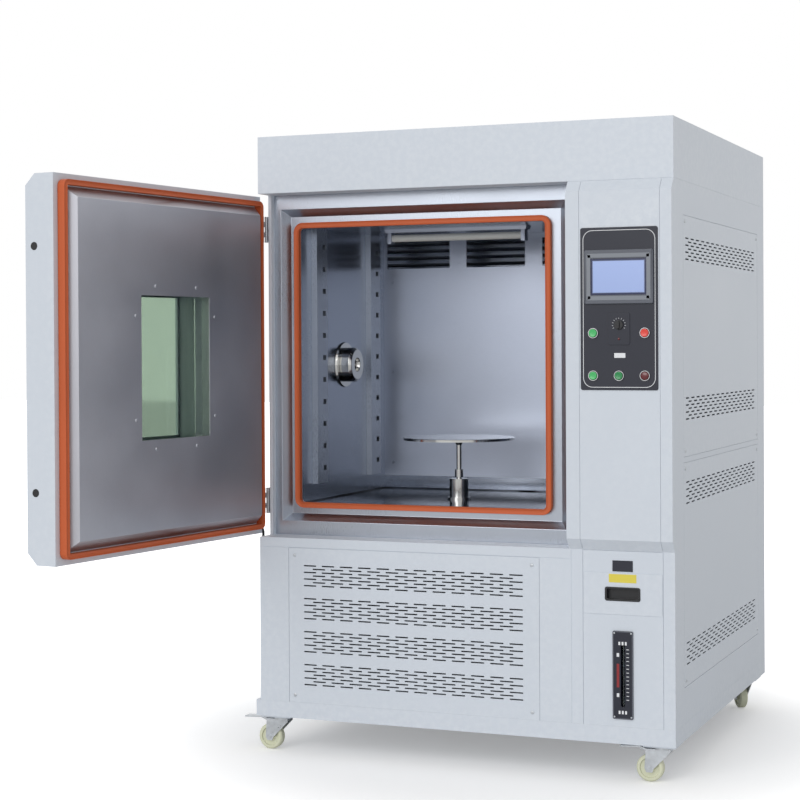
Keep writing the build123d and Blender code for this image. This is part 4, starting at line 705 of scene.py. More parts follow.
@dataclass(frozen=True)
class Finish:
    """A finish of one colour with a fine grain, soft mottling, worn edges and some dust."""

    name: str
    colour: Colour
    roughness: float
    metallic: float = 0.0
    grain_scale: float = 900.0
    grain_depth: float = 0.03
    brush: Brush = Brush.NONE
    mottling: float = 0.04
    gloss_spread: float = 0.05
    wear: float = 0.0
    wear_colour: Colour = tone(232, 236, 240)
    dust: float = 0.0
    coat: float = 0.0
    anisotropic: float = 0.0

    def material(self) -> bpy.types.Material:
        """Makes the material, or finds it if it is there already.

        Returns:
            The material.
        """
        if self.name in bpy.data.materials:
            return bpy.data.materials[self.name]
        material = bpy.data.materials.new(self.name)
        material.use_nodes = True
        self.lay(Bench(material.node_tree))
        return material

    def lay(self, bench: Bench) -> bpy.types.Node:
        """Lays out the nodes.

        Args:
            bench: Wiring of the material's tree.

        Returns:
            The Principled node.
        """
        place = bench.add("TexCoord").outputs["Object"]
        shader = bench.add("BsdfPrincipled")
        bench.wire(shader.outputs[0], bench.add("OutputMaterial").inputs["Surface"])
        shader.inputs["Metallic"].default_value = self.metallic
        shader.inputs["Coat Weight"].default_value = self.coat
        shader.inputs["Coat Roughness"].default_value = 0.12
        shader.inputs["Anisotropic"].default_value = self.anisotropic
        grain = bench.effect(GRAIN, place, Stretch=self.brush.value, Scale=self.grain_scale, Depth=self.grain_depth)
        bench.wire(grain.outputs["Normal"], shader.inputs["Normal"])
        texture = bench.maths("ADD", bench.noise(place, 3.5, 4), grain.outputs["Value"])
        shade = bench.mix(
            bench.spread(texture, *NOISE_SPAN), scaled(self.colour, 1 - self.mottling),
            scaled(self.colour, 1 + self.mottling),
        )
        bench.wire(self.weather(bench, place, shade), shader.inputs["Base Color"])
        glossy, matt = max(0.02, self.roughness - self.gloss_spread), self.roughness + self.gloss_spread
        bench.wire(bench.spread(texture, *NOISE_SPAN, glossy, matt), shader.inputs["Roughness"])
        return shader

    def weather(
        self, bench: Bench, place: bpy.types.NodeSocket, colour: bpy.types.NodeSocket
    ) -> bpy.types.NodeSocket:
        """Adds worn edges and dust to a colour.

        Args:
            bench: Wiring of the material's tree.
            place: The coordinates.
            colour: The colour so far.

        Returns:
            The weathered colour.
        """
        for amount, effect, onto in ((self.wear, EDGE_WEAR, self.wear_colour), (self.dust, DUST, DUST_COLOUR)):
            if amount > 0:
                mask = bench.effect(effect, place, Amount=amount)
                colour = bench.mix(mask.outputs["Mask"], colour, onto)
        return colour


@dataclass(frozen=True)
class Glass(Finish):
    """Clear or tinted glass."""

    ior: float = 1.5

    def lay(self, bench: Bench) -> bpy.types.Node:
        """Lays out the nodes.

        Args:
            bench: Wiring of the material's tree.

        Returns:
            The Principled node.
        """
        shader = super().lay(bench)
        shader.inputs["Transmission Weight"].default_value = 1.0
        shader.inputs["IOR"].default_value = self.ior
        return shader


@dataclass(frozen=True)
class LitScreen(Finish):
    """Screen glass: a lit field with a dark edge, softly brighter towards its top. Its sizes are in metres."""

    middle: tuple[float, float] = (0.0, 0.0)
    half: tuple[float, float] = (0.0775, 0.049)
    edge: float = 0.006
    edge_blur: float = 0.0015
    edge_colour: Colour = (0.008, 0.012, 0.05, 1.0)
    fall_off: float = 0.8
    glow: float = 0.3

    def lay(self, bench: Bench) -> bpy.types.Node:
        """Lays out the nodes.

        Args:
            bench: Wiring of the material's tree.

        Returns:
            The Principled node.
        """
        shader = super().lay(bench)
        split = bench.add("SeparateXYZ")
        bench.wire(bench.add("TexCoord").outputs["Object"], split.inputs[0])
        reach = []
        for axis, middle, half in zip("XZ", self.middle, self.half):
            away = bench.maths("ABSOLUTE", bench.maths("SUBTRACT", split.outputs[axis], middle))
            reach.append(bench.maths("SUBTRACT", away, half - self.edge))
        rim = bench.spread(bench.maths("MAXIMUM", *reach), -self.edge_blur, self.edge_blur)
        foot, top = self.middle[1] - self.half[1], self.middle[1] + self.half[1]
        height = bench.spread(split.outputs["Z"], foot, top, 0.75, 1.0)
        field = bench.mix(height, scaled(self.colour, self.fall_off), self.colour)
        shown = bench.mix(rim, field, self.edge_colour)
        bench.wire(shown, shader.inputs["Base Color"])
        bench.wire(shown, shader.inputs["Emission Color"])
        shader.inputs["Emission Strength"].default_value = self.glow
        return shader


def paint(name: str, colour: Colour, wear: float, wear_colour: Colour, dust: float) -> Finish:
    """Powder coat.

    Args:
        name: Name of the finish.
        colour: Its colour.
        wear: Wear of its edges.
        wear_colour: Colour of worn edges.
        dust: Dust on it.

    Returns:
        The finish.
    """
    return Finish(
        name, colour, 0.42, grain_scale=420, grain_depth=0.05, mottling=0.015, wear=wear, wear_colour=wear_colour,
        dust=dust,
    )


def steel(
    name: str, colour: Colour, roughness: float, brush: Brush, depth: float, mottling: float = 0.06,
    gloss_spread: float = 0.07, anisotropic: float = 0.5,
) -> Finish:
    """Brushed stainless sheet.

    Args:
        name: Name of the finish.
        colour: Its colour.
        roughness: Its roughness.
        brush: Direction in which it was brushed.
        depth: Depth of the brush marks.
        mottling: Spread of its colour.
        gloss_spread: Spread of its roughness.
        anisotropic: How far its highlights are drawn out.

    Returns:
        The finish.
    """
    return Finish(name, colour, roughness, 1.0, 60, depth, brush, mottling, gloss_spread, anisotropic=anisotropic)


def moulding(name: str, colour: Colour, roughness: float, depth: float, mottling: float = 0.04) -> Finish:
    """Moulded plastic.

    Args:
        name: Name of the finish.
        colour: Its colour.
        roughness: Its roughness.
        depth: Depth of its texture.
        mottling: Spread of its colour.

    Returns:
        The finish.
    """
    return Finish(name, colour, roughness, grain_scale=1100, grain_depth=depth, mottling=mottling, dust=0.05)


def button_cap(
    name: str, colour: Colour, roughness: float = 0.28, mottling: float = 0.05, coat: float = 0.4
) -> Finish:
    """Coloured cap of a button or lamp.

    Args:
        name: Name of the finish.
        colour: Its colour.
        roughness: Its roughness.
        mottling: Spread of its colour.
        coat: Weight of its clear coat.

    Returns:
        The finish.
    """
    return Finish(name, colour, roughness, mottling=mottling, coat=coat)


PAINT = paint("paint_pale_blue", tone(207, 214, 223), 0.25, tone(232, 236, 240), 0.06)
PAINT_LIP = paint("lip_paint", tone(210, 217, 225), 0.3, tone(236, 239, 242), 0.08)
STEEL_UPRIGHT = steel("steel_brushed_upright", tone(178, 184, 194), 0.30, Brush.UPRIGHT, 0.12)
STEEL_ACROSS = steel("steel_brushed_across", tone(178, 185, 200), 0.36, Brush.ACROSS, 0.12)
STEEL_DEEP = steel("steel_brushed_deep", tone(166, 173, 186), 0.24, Brush.DEEP, 0.08, 0.05, 0.05, 0.4)
STEEL_DOOR = steel("steel_brushed_door", tone(186, 187, 194), 0.42, Brush.UPRIGHT, 0.12, 0.07, 0.06, 0.4)
# The floor pan's steel is darkened to a deep grey: this is painted shade of the test space's floor, not the sheet's
# own colour.
STEEL_FLOOR_PAINTED_SHADE = steel("steel_floor_painted_shade", tone(70, 74, 82), 0.10, Brush.ACROSS, 0.04, 0.05, 0.05, 0.0)
STEEL_BRIGHT = Finish("steel_polished", tone(205, 205, 203), 0.14, 1.0, 220, 0.03, Brush.TURNED, 0.03, 0.04)
CHROME = Finish("chrome_plate", tone(215, 216, 218), 0.08, 1.0, 300, 0.02, mottling=0.02, gloss_spread=0.03)
ZINC = Finish(
    "zinc_plate", tone(196, 200, 204), 0.36, 1.0, 90, 0.08, mottling=0.10, gloss_spread=0.10, wear=0.3,
    wear_colour=tone(222, 224, 226), dust=0.08,
)
SILICONE = Finish("silicone_orange", tone(196, 92, 46), 0.55, grain_depth=0.10, mottling=0.07, dust=0.05)
PANEL_DARK = Finish("panel_near_black", tone(20, 24, 40), 0.45, grain_depth=0.04, mottling=0.05)
PLASTIC_GREY = moulding("grey_moulding", tone(88, 92, 102), 0.42, 0.10)
PLASTIC_PALE = moulding("pale_grey_moulding", tone(126, 131, 139), 0.4, 0.08, 0.03)
PLASTIC_BLACK = moulding("black_moulding", tone(22, 23, 27), 0.40, 0.12, 0.10)
BLACK_SHEET = Finish(
    "black_coated_sheet", tone(24, 25, 27), 0.45, grain_scale=600, grain_depth=0.08, mottling=0.10, dust=0.1
)
PRINT_WHITE = Finish("print_white", tone(228, 230, 233), 0.5, mottling=0.02)
PRINT_RED = Finish("print_dark_red", tone(140, 34, 38), 0.5)
STICKER = Finish("sticker_yellow", tone(222, 206, 78), 0.45)
CAP_GREEN = button_cap("cap_green", tone(64, 182, 100))
CAP_GREEN_DARK = button_cap("cap_green_dark", tone(20, 134, 70), 0.30)
CAP_RED = button_cap("cap_red", tone(222, 62, 48))
LENS_RED = button_cap("lens_dark_red", tone(96, 16, 24), 0.18, 0.10, 0.6)
NYLON = Finish("nylon_cream", tone(214, 216, 190), 0.5, grain_scale=500, grain_depth=0.06, mottling=0.06, dust=0.12)
CABLE = Finish("cable_jacket", tone(34, 35, 37), 0.5, grain_depth=0.06, mottling=0.08, dust=0.08)
OPAL = Finish("opal_glass", tone(236, 236, 230), 0.2, grain_scale=200, grain_depth=0.02, mottling=0.02, coat=0.5)
GLASS = Glass(
    "glass_pale_green", tone(226, 236, 226), 0.02, grain_scale=40, grain_depth=0, mottling=0, gloss_spread=0.01
)
TUBE = Glass(
    "sight_tube_glass", tone(214, 226, 228), 0.03, grain_scale=60, grain_depth=0, mottling=0.02, gloss_spread=0.01
)


def install(obj: bpy.types.Object, body: str, slot: str, finish: Finish, *replaces: str) -> bpy.types.Object:
    """Gives a piece its finish and fastens it to a body.

    Args:
        obj: The piece.
        body: The body that it moves with.
        slot: The record's material slot; not used.
        finish: Its finish.
        *replaces: Solids that it stands for.

    Returns:
        The same piece.
    """
    obj.data.materials.clear()
    obj.data.materials.append(finish.material())
    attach(obj, body)
    if replaces:
        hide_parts(*replaces)
    log.info("%s: %d faces on %s", obj.name, len(obj.data.polygons), body)
    return obj


def dress(finish: Finish, *nodes: str) -> None:
    """Gives solids that keep their shape a finish.

    Args:
        finish: The finish.
        *nodes: Names of the solids.
    """
    for node in nodes:
        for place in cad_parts[node].material_slots:
            place.material = finish.material()
        log.info("%s: %s", node, finish.name)


# Sub-assemblies


@dataclass
class Carcass:
    """Painted sheet metal: base, walls, hood, control column and covers. Edge rounds are in millimetres."""

    folded_edge: float = 1.5
    hood_edge: float = 2.5
    cover_edge: float = 0.8
    lower_cover_edge: float = 0.5
    wall_edge: float = 0.6

    def build(self) -> None:
        """Rounds the sheet metal's edges and paints it."""
        for node, slot, width in (
            ("base_frame", "paint_lip", self.folded_edge),
            ("top_hood", "paint_light", self.hood_edge),
            ("control_column", "paint_light", self.folded_edge),
            ("column_cover", "paint_light", self.cover_edge),
            ("lower_column_cover", "paint_light", self.lower_cover_edge),
            ("cabinet_shell", "paint_light", self.wall_edge),
        ):
            install(softened(node, width), "cabinet", slot, PAINT, node)
        dress(PAINT_LIP, "power_gland")


@dataclass
class VentPanel:
    """Sheet with blocks of staggered slots. Each second row has one slot less and stands half a pitch aside."""

    node: str
    facing: Facing
    pitch: float
    row_pitch: float
    count: int
    first: float
    block_tops: tuple[float, ...]
    rows: int = 7
    slot_length: float = 40.0
    slot_height: float = 4.0
    slot_round: float = 0.92
    reach: float = 6.0
    edge: float = 0.6

    def slot_cutter(self, start: float, count: int, rows: int, top: float) -> bpy.types.Object:
        """Models one slot and repeats it over every second row of a block.

        Args:
            start: Middle of the first slot.
            count: Slots in a row.
            rows: Rows.
            top: Height of the top row.

        Returns:
            The cutter.
        """
        front = self.facing is Facing.FRONT
        middle = SITE.at(start, 0, top) if front else SITE.at(0, start, top)
        if not front:
            middle.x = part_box(self.node)[1].x
        long, high = self.slot_length / 2 * MM, self.slot_height / 2 * MM
        deep = self.reach * MM
        half = Vector((long, deep, high)) if front else Vector((deep, long, high))
        cutter = block("slot_cutter", middle - half, middle + half)
        through = 1 if front else 0
        select_edges(cutter, lambda run: abs(run[through]) > deep)
        with editing(cutter, "EDGE"):
            bpy.ops.mesh.bevel(offset=self.slot_round * high, segments=2)
        step = Vector((self.pitch * MM, 0, 0) if front else (0, self.pitch * MM, 0))
        return row(row(cutter, count, step), rows, Vector((0, 0, -2 * self.row_pitch * MM)))

    def build(self) -> None:
        """Cuts the slots and paints the sheet."""
        sheet = bevel(block(f"{self.node}_dressed", *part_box(self.node)), self.edge)
        cutters = []
        for top in self.block_tops:
            cutters.append(self.slot_cutter(self.first, self.count, (self.rows + 1) // 2, top))
            aside = self.first + self.pitch / 2
            cutters.append(self.slot_cutter(aside, self.count - 1, self.rows // 2, top - self.row_pitch))
        cut(sheet, join(*cutters))
        install(smooth(sheet, 40), "cabinet", "paint_light", PAINT, self.node)


@dataclass
class ScrewHeads:
    """Cross-recessed heads in the corners of the grille and the side panels."""

    radius: float = 5.0
    height: float = 2.0
    side: float = 620.0
    front_across: tuple[float, ...] = (-507.5, 217.0)
    front_heights: tuple[float, ...] = (580.0, 173.0)
    side_depths: tuple[float, ...] = (121.0, 1096.0)
    side_heights: tuple[float, ...] = (1524.0, 896.0, 847.0, 266.0)

    def head(self, name: str, base: Vector, facing: Facing) -> bpy.types.Object:
        """Models one head with its cross recess.

        Args:
            name: Name of the piece.
            base: Where it sits.
            facing: Direction it faces.

        Returns:
            The head.
        """
        wide, tall = self.radius, self.height
        profile = [(wide, 0), (wide, tall * 0.45), (wide * 0.86, tall * 0.85), (wide * 0.6, tall)]
        up = Vector((0, 0, 1))
        head = turned(name, Vector(), up, profile, 20)
        arm, half = wide * 0.55, wide * 0.13
        for across, along in ((arm, half), (half, arm)):
            low, high = Vector((-across, -along, tall * 0.45)), Vector((across, along, tall * 1.5))
            cut(head, block("recess", low * MM, high * MM))
        return turned_towards(head, base, facing.vector())

    def build(self) -> None:
        """Sets a head in each corner of the panels."""
        left, top = self.front_across[0], self.front_heights[0]
        front = self.head("panel_screw_front", SITE.at(left, 0, top), Facing.FRONT)
        near, upper = self.side_depths[0], self.side_heights[0]
        side = self.head("panel_screw_side", SITE.at(self.side, near, upper), Facing.RIGHT)
        heads = [front, side]
        for x in self.front_across:
            for z in self.front_heights:
                if (x, z) != (left, top):
                    heads.append(copied(front, Vector((x - left, 0, z - top)) * MM))
        for depth in self.side_depths:
            for z in self.side_heights:
                if (depth, z) != (near, upper):
                    heads.append(copied(side, Vector((0, depth - near, z - upper)) * MM))
        install(smooth(join(*heads)), "cabinet", "zinc", ZINC, "cabinet_screws")


@dataclass
class ControlFace:
    """Operator panel, push-buttons, lamp and temperature limiter. Places are millimetres on the cabinet."""

    face: float = -27.0
    middle: float = 475.5
    low: float = 1065.0
    high: float = 1504.0
    width: float = 215.0
    panel_edge: float = 0.8
    border_inset: float = 7.0
    border_corner: float = 26.0
    border_line: float = 1.6
    border_proud: float = 0.3
    screen_height: float = 1370.5
    screen_frame: tuple[float, float] = (177.0, 126.0)
    screen_frame_corner: float = 3.0
    screen_frame_line: float = 11.0
    screen_frame_proud: float = 0.6
    bezel_face: float = -33.0
    bezel_edge: float = 1.2
    knob_height: float = 1241.0
    knob_edge: float = 0.6
    limiter_face: float = -29.0
    scale_radius: float = 17.5
    scale_marks: int = 11
    scale_step: float = 24.0
    mark_width: float = 1.0
    mark_height: float = 3.2
    limiter_lamp_height: float = 1203.0
    limiter_lamp_profile: tuple[tuple[float, float], ...] = ((3.2, 0), (3.2, 1.2), (2.4, 2.2), (1.0, 2.6))
    tag: tuple[float, float, float, float] = (462.0, 1152.0, 493.0, 1165.0)
    cap_radius: float = 11.0
    cap_foot: float = -20.0
    cap_proud: float = 9.0
    cap_dish: tuple[tuple[float, float], ...] = (
        (11.0, -1.6), (10.7, -0.8), (10.0, -0.2), (9.0, 0.0), (6.0, -0.5), (3.0, -0.8)
    )
    lens_proud: float = 8.0
    lens_dome: tuple[tuple[float, float], ...] = ((11.0, -3.0), (10.2, -1.4), (8.2, -0.5), (5.0, 0.0), (2.0, 0.2))
    buttons: tuple[tuple[str, str, float, float, Finish, str], ...] = (
        ("run_button", "run", 404.0, 1219.0, CAP_GREEN, "button_green"),
        ("stop_button", "stop", 547.0, 1219.0, CAP_RED, "button_red"),
        ("light_button", "light", 404.0, 1104.0, CAP_GREEN, "button_green"),
        ("power_button", "power", 475.5, 1104.0, CAP_GREEN_DARK, "button_green"),
        ("fault_lamp", "cabinet", 547.0, 1104.0, LENS_RED, "lamp_red"),
    )

    def build(self) -> None:
        """Builds and dresses every control."""
        front = Facing.FRONT.vector()
        install(softened("control_panel", self.panel_edge), "cabinet", "panel_dark", PANEL_DARK, "control_panel")
        centre = SITE.at(self.middle, self.face, (self.low + self.high) / 2)
        size = (self.width - 2 * self.border_inset, self.high - self.low - 2 * self.border_inset)
        border = ring(
            "panel_border", centre, front, size, self.border_corner, self.border_line, self.border_proud
        )
        install(border, "cabinet", "paint_lip", PRINT_WHITE)
        self.screen(front)
        for node, body, x, z, finish, slot in self.buttons:
            self.button(node, body, SITE.at(x, self.face, z), finish, slot)
        self.limiter(front)

    def screen(self, front: Vector) -> None:
        """Dresses the operator panel's bezel and screen.

        Args:
            front: Direction that the panel faces.
        """
        install(softened("hmi_bezel", self.bezel_edge), "cabinet", "plastic_grey", PLASTIC_GREY, "hmi_bezel")
        centre = SITE.at(self.middle, self.bezel_face, self.screen_height)
        surround = ring(
            "screen_frame", centre, front, self.screen_frame, self.screen_frame_corner, self.screen_frame_line,
            self.screen_frame_proud,
        )
        install(surround, "cabinet", "plastic_grey", PLASTIC_PALE)
        lit = LitScreen(
            "screen_lit", tone(146, 164, 208), 0.12, grain_depth=0, mottling=0.02, gloss_spread=0.02,
            middle=(centre.x, centre.z),
        )
        dress(lit, "hmi_screen")

    def button(self, node: str, body: str, base: Vector, finish: Finish, slot: str) -> None:
        """Builds a cap with a shallow dish, or a domed lens for the lamp.

        Args:
            node: Solid that the cap stands for.
            body: Body that the cap moves with.
            base: Centre on the panel's face.
            finish: Finish of the cap.
            slot: The record's material slot.
        """
        top, crown = (self.lens_proud, self.lens_dome) if body == "cabinet" else (self.cap_proud, self.cap_dish)
        profile = [(self.cap_radius, self.cap_foot)] + [(wide, top + high) for wide, high in crown]
        cap = turned(f"{node}_cap", base, Facing.FRONT.vector(), profile)
        install(smooth(cap, 40), body, slot, finish, node)

    def scale_mark(self, number: int) -> bpy.types.Object:
        """Makes one mark of the limiter's scale.

        Args:
            number: Its number, from the left stop on.

        Returns:
            The mark.
        """
        angle = math.radians(self.scale_step * (number - (self.scale_marks - 1) / 2))
        x = self.middle + self.scale_radius * math.sin(angle)
        z = self.knob_height + self.scale_radius * math.cos(angle)
        face = self.limiter_face
        wide, tall = self.mark_width / 2, self.mark_height / 2
        mark = block("mark", SITE.at(x - wide, face - 0.3, z - tall), SITE.at(x + wide, face + 0.2, z + tall))
        base = Matrix.Translation(SITE.at(x, face, z))
        mark.data.transform(base @ Matrix.Rotation(angle, 4, "Y") @ base.inverted())
        return mark

    def limiter(self, front: Vector) -> None:
        """Dresses the collars and adds the limiter's scale, knob and lamp.

        Args:
            front: Direction that the panel faces.
        """
        dress(CHROME, "button_bezels")
        install(softened("limit_knob", self.knob_edge), "knob", "plastic_black", PLASTIC_BLACK, "limit_knob")
        scale = join(*(self.scale_mark(number) for number in range(self.scale_marks)))
        scale.name = "limiter_scale"
        install(scale, "cabinet", "paint_lip", PRINT_WHITE)
        base = SITE.at(self.middle, self.limiter_face, self.limiter_lamp_height)
        lamp = turned("limiter_lamp", base, front, self.limiter_lamp_profile, 20)
        install(smooth(lamp, 40), "cabinet", "lamp_red", LENS_RED)
        left, low, right, high = self.tag
        plate = block("tag_plate", SITE.at(left, self.face - 0.8, low), SITE.at(right, self.face + 0.2, high))
        install(bevel(plate, 0.4), "cabinet", "paint_lip", PRINT_WHITE)


@dataclass
class LowerCover:
    """Drawer, blank plates and the level gauge. Places are millimetres on the cabinet."""

    middle: float = 475.5
    drawer_edge: float = 0.8
    handle_edge: float = 1.0
    plate: tuple[float, float, float, float] = (447.0, 573.0, 504.0, 603.0)
    sticker: tuple[float, float, float, float] = (437.0, 543.0, 514.0, 566.0)
    gauge_low: float = 173.0
    gauge_high: float = 412.0
    gauge_width: float = 57.0
    gauge_face: float = -3.0
    gauge_edge: float = 0.5
    ticks: int = 14
    tick_pitch: float = 10.5
    tick_rise: float = 52.0
    tick_across: float = 10.0
    tick_size: tuple[float, float] = (7.0, 1.6)
    triple_rises: tuple[float, ...] = (14.0, 201.0)
    triple_across: tuple[float, ...] = (-12.0, -3.0, 6.0)
    triple_size: tuple[float, float] = (5.0, 9.0)
    arrow_across: float = -17.0
    arrow_rises: tuple[float, ...] = (60.0, 169.0)
    arrow_size: tuple[float, float] = (7.0, 10.0)
    segment_rise: float = 86.0
    segment_size: tuple[float, float] = (7.0, 64.0)
    screw_inset: float = 6.0
    screw_across: float = 23.5
    print_height: float = 0.4

    def build(self) -> None:
        """Builds and dresses the drawer and the gauge."""
        install(softened("drawer", self.drawer_edge), "drawer_unit", "paint_light", PAINT, "drawer")
        handle = softened("drawer_handle", self.handle_edge)
        install(handle, "drawer_unit", "plastic_black", PLASTIC_BLACK, "drawer_handle")
        left, low, right, high = self.plate
        plate = bevel(block("blank_plate", SITE.at(left, -1.6, low), SITE.at(right, -0.8, high)), 0.5)
        install(plate, "cabinet", "plastic_black", PANEL_DARK)
        left, low, right, high = self.sticker
        sticker = bevel(block("blank_sticker", SITE.at(left, -2.4, low), SITE.at(right, -1.9, high)), 0.2)
        install(sticker, "drawer_unit", "paint_lip", STICKER)
        self.gauge()

    def mark(self, across: float, rise: float, size: tuple[float, float]) -> bpy.types.Object:
        """Makes one printed mark of the gauge.

        Args:
            across: Its left edge, from the gauge's middle line.
            rise: Its lower edge, from the gauge's foot.
            size: Its width and height.

        Returns:
            The mark.
        """
        left, low, face = self.middle + across, self.gauge_low + rise, self.gauge_face
        width, height = size
        return block(
            "mark", SITE.at(left, face - self.print_height, low), SITE.at(left + width, face + 0.1, low + height)
        )

    def gauge(self) -> None:
        """Builds the gauge's frame, marks and screws, and dresses its plate and tube."""
        low, high, face = self.gauge_low, self.gauge_high, self.gauge_face
        install(softened("gauge_plate", self.gauge_edge), "cabinet", "plastic_black", PANEL_DARK, "gauge_plate")
        centre = SITE.at(self.middle, face, (low + high) / 2)
        rim = ring("gauge_frame", centre, Facing.FRONT.vector(), (self.gauge_width, high - low), 4, 3.0, 0.8)
        install(rim, "cabinet", "plastic_grey", PLASTIC_GREY)
        rises = [self.tick_rise + number * self.tick_pitch for number in range(self.ticks)]
        marks = [self.mark(self.tick_across, rise, self.tick_size) for rise in rises]
        marks += [self.mark(x, rise, self.triple_size) for x in self.triple_across for rise in self.triple_rises]
        marks += [self.mark(self.arrow_across, rise, self.arrow_size) for rise in self.arrow_rises]
        print_white = join(*marks)
        print_white.name = "gauge_marks"
        install(print_white, "cabinet", "paint_lip", PRINT_WHITE)
        segment = self.mark(self.arrow_across, self.segment_rise, self.segment_size)
        segment.name = "gauge_segment"
        install(segment, "cabinet", "button_red", PRINT_RED)
        dress(TUBE, "gauge_tube")
        small = ScrewHeads(2.4, 1.4)
        screws = []
        for x in (self.middle - self.screw_across, self.middle + self.screw_across):
            for z in (low + self.screw_inset, high - self.screw_inset):
                screws.append(small.head("head", SITE.at(x, face - 0.6, z), Facing.FRONT))
        heads = join(*screws)
        heads.name = "gauge_screws"
        install(smooth(heads), "cabinet", "zinc", ZINC)


@dataclass
class Gasket:
    """Round-cornered silicone frame with a groove pressed into its sealing face. Sizes are in millimetres."""

    node: str
    body: str
    base: Vector
    normal: Vector
    size: tuple[float, float]
    corner: float
    line: float
    proud: float
    groove: float = 4.5
    groove_depth: float = 3.0
    edge: float = 1.6

    def build(self) -> None:
        """Models the gasket and dresses it."""
        obj = ring(f"{self.node}_dressed", self.base, self.normal, self.size, self.corner, self.line, self.proud)
        top = self.base.dot(self.normal) + self.proud * MM
        near = 0.3 * MM
        flat = 0.9
        select_faces(
            obj, lambda at, facing: abs(at.dot(self.normal) - top) < near and abs(facing.dot(self.normal)) > flat
        )
        with editing(obj):
            bpy.ops.mesh.inset(thickness=self.groove * MM, depth=-self.groove_depth * MM)
        install(smooth(bevel(obj, self.edge, 3, 25), 40), self.body, "silicone", SILICONE, self.node)


@dataclass
class Chamber:
    """Stainless test space with its gasket, rails, baffle, port, lamp and turntable. Sizes are in millimetres."""

    gasket_corner: float = 28.0
    gasket_line: float = 16.0
    surround_edge: float = 1.0
    rail_edge: float = 0.5
    plug_edge: float = 1.2

    def build(self) -> None:
        """Dresses the whole test space."""
        install(softened("door_surround", self.surround_edge), "cabinet", "stainless", STEEL_UPRIGHT, "door_surround")
        low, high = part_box("cabinet_gasket")
        size = (high - low) / MM
        base = Vector(((low.x + high.x) / 2, high.y, (low.z + high.z) / 2))
        Gasket(
            "cabinet_gasket", "cabinet", base, Facing.FRONT.vector(), (size.x, size.z), self.gasket_corner,
            self.gasket_line, size.y,
        ).build()
        dress(STEEL_DEEP, "chamber_liner")
        # The floor pan gets steel darkened with painted shade of the test space.
        dress(STEEL_FLOOR_PAINTED_SHADE, "floor_pan")
        install(softened("shelf_rails", self.rail_edge), "cabinet", "stainless", STEEL_UPRIGHT, "shelf_rails")
        dress(STEEL_ACROSS, "back_baffle", "lamp_housing", "fan_wheel")
        dress(STEEL_BRIGHT, "port_sleeve", "turntable_shaft", "turntable_disc", "bearing_housing")
        plug = softened("port_plug", self.plug_edge, 3, 20, 0.2)
        install(plug, "plug", "stainless_bright", STEEL_BRIGHT, "port_plug")
        dress(OPAL, "lamp_tube")


@dataclass
class Door:
    """Insulated door with its window, latch and hinges. Sizes are in millimetres."""

    shell_edge: float = 2.0
    skin_edge: float = 1.0
    lever_edge: float = 1.2
    gasket_from: tuple[float, float] = (28.0, 649.0)
    gasket_to: tuple[float, float] = (937.0, 1615.0)
    gasket_seat: float = -14.0
    gasket_corner: float = 18.0
    gasket_line: float = 14.0
    gasket_proud: float = 23.7

    def build(self) -> None:
        """Builds and dresses the door."""
        install(softened("door_shell", self.shell_edge), "door", "door_paint", PAINT, "door_shell")
        install(softened("door_liner", self.skin_edge), "door", "stainless_core", STEEL_DOOR, "door_liner")
        (near, foot), (far, top) = self.gasket_from, self.gasket_to
        base = SITE.on_door((near + far) / 2, self.gasket_seat, (foot + top) / 2)
        Gasket(
            "door_gasket", "door", base, SITE.door_normal(), (far - near, top - foot), self.gasket_corner,
            self.gasket_line, self.gasket_proud,
        ).build()
        dress(GLASS, "window_panes")
        install(softened("door_handle", self.lever_edge), "door_lever", "chrome", CHROME, "door_handle")
        dress(BLACK_SHEET, "latch_bolts")
        dress(ZINC, "hinge_cabinet_leaves", "hinge_door_leaves")
        dress(PLASTIC_BLACK, "cable_gland_door", "cable_gland_cabinet")


@dataclass
class DoorCable:
    """Cable from the door into the cabinet's wall. Sizes are in millimetres, its length in metres."""

    radius: float = 4.0
    length: float = 0.158
    gland_across: float = 11.7
    gland_through: float = -36.0
    gland_height: float = 650.0
    reach: float = -30.0
    lean: float = 2.0
    wall_x: float = -620.3
    wall_depth: float = 108.0
    wall_height: float = 557.0

    def build(self) -> None:
        """Lays the cable as one smooth curve between its glands."""
        start = SITE.on_door(self.gland_across, self.gland_through, self.gland_height)
        corner = SITE.on_door(self.reach, self.gland_through, self.gland_height)
        end = SITE.at(self.wall_x, self.wall_depth, self.wall_height)
        low = Vector((corner.x - self.lean * MM, end.y, end.z))
        points = [start, corner, (corner + low) / 2, low, end]
        data = bpy.data.curves.new("door_cable_lay", "CURVE")
        data.dimensions = "3D"
        data.resolution_u = 12
        spline = data.splines.new("NURBS")
        spline.points.add(len(points) - 1)
        for point, place in zip(spline.points, points):
            point.co = (*place, 1.0)
        spline.order_u = 3
        spline.use_endpoint_u = True
        route = bpy.data.objects.new("door_cable_route", data)
        bpy.context.scene.collection.objects.link(route)
        bpy.context.view_layer.update()
        path = [tuple(vertex.co) for vertex in bpy.data.meshes.new_from_object(route).vertices]
        data.bevel_depth = self.radius * MM
        data.bevel_resolution = 6
        bpy.context.view_layer.update()
        obj = bpy.data.objects.new("door_cable_lay", bpy.data.meshes.new_from_object(route))
        bpy.context.scene.collection.objects.link(obj)
        bpy.data.objects.remove(route)
        smooth(obj, 60)
        obj.data.materials.append(CABLE.material())
        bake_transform(obj)
        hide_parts("door_cable")


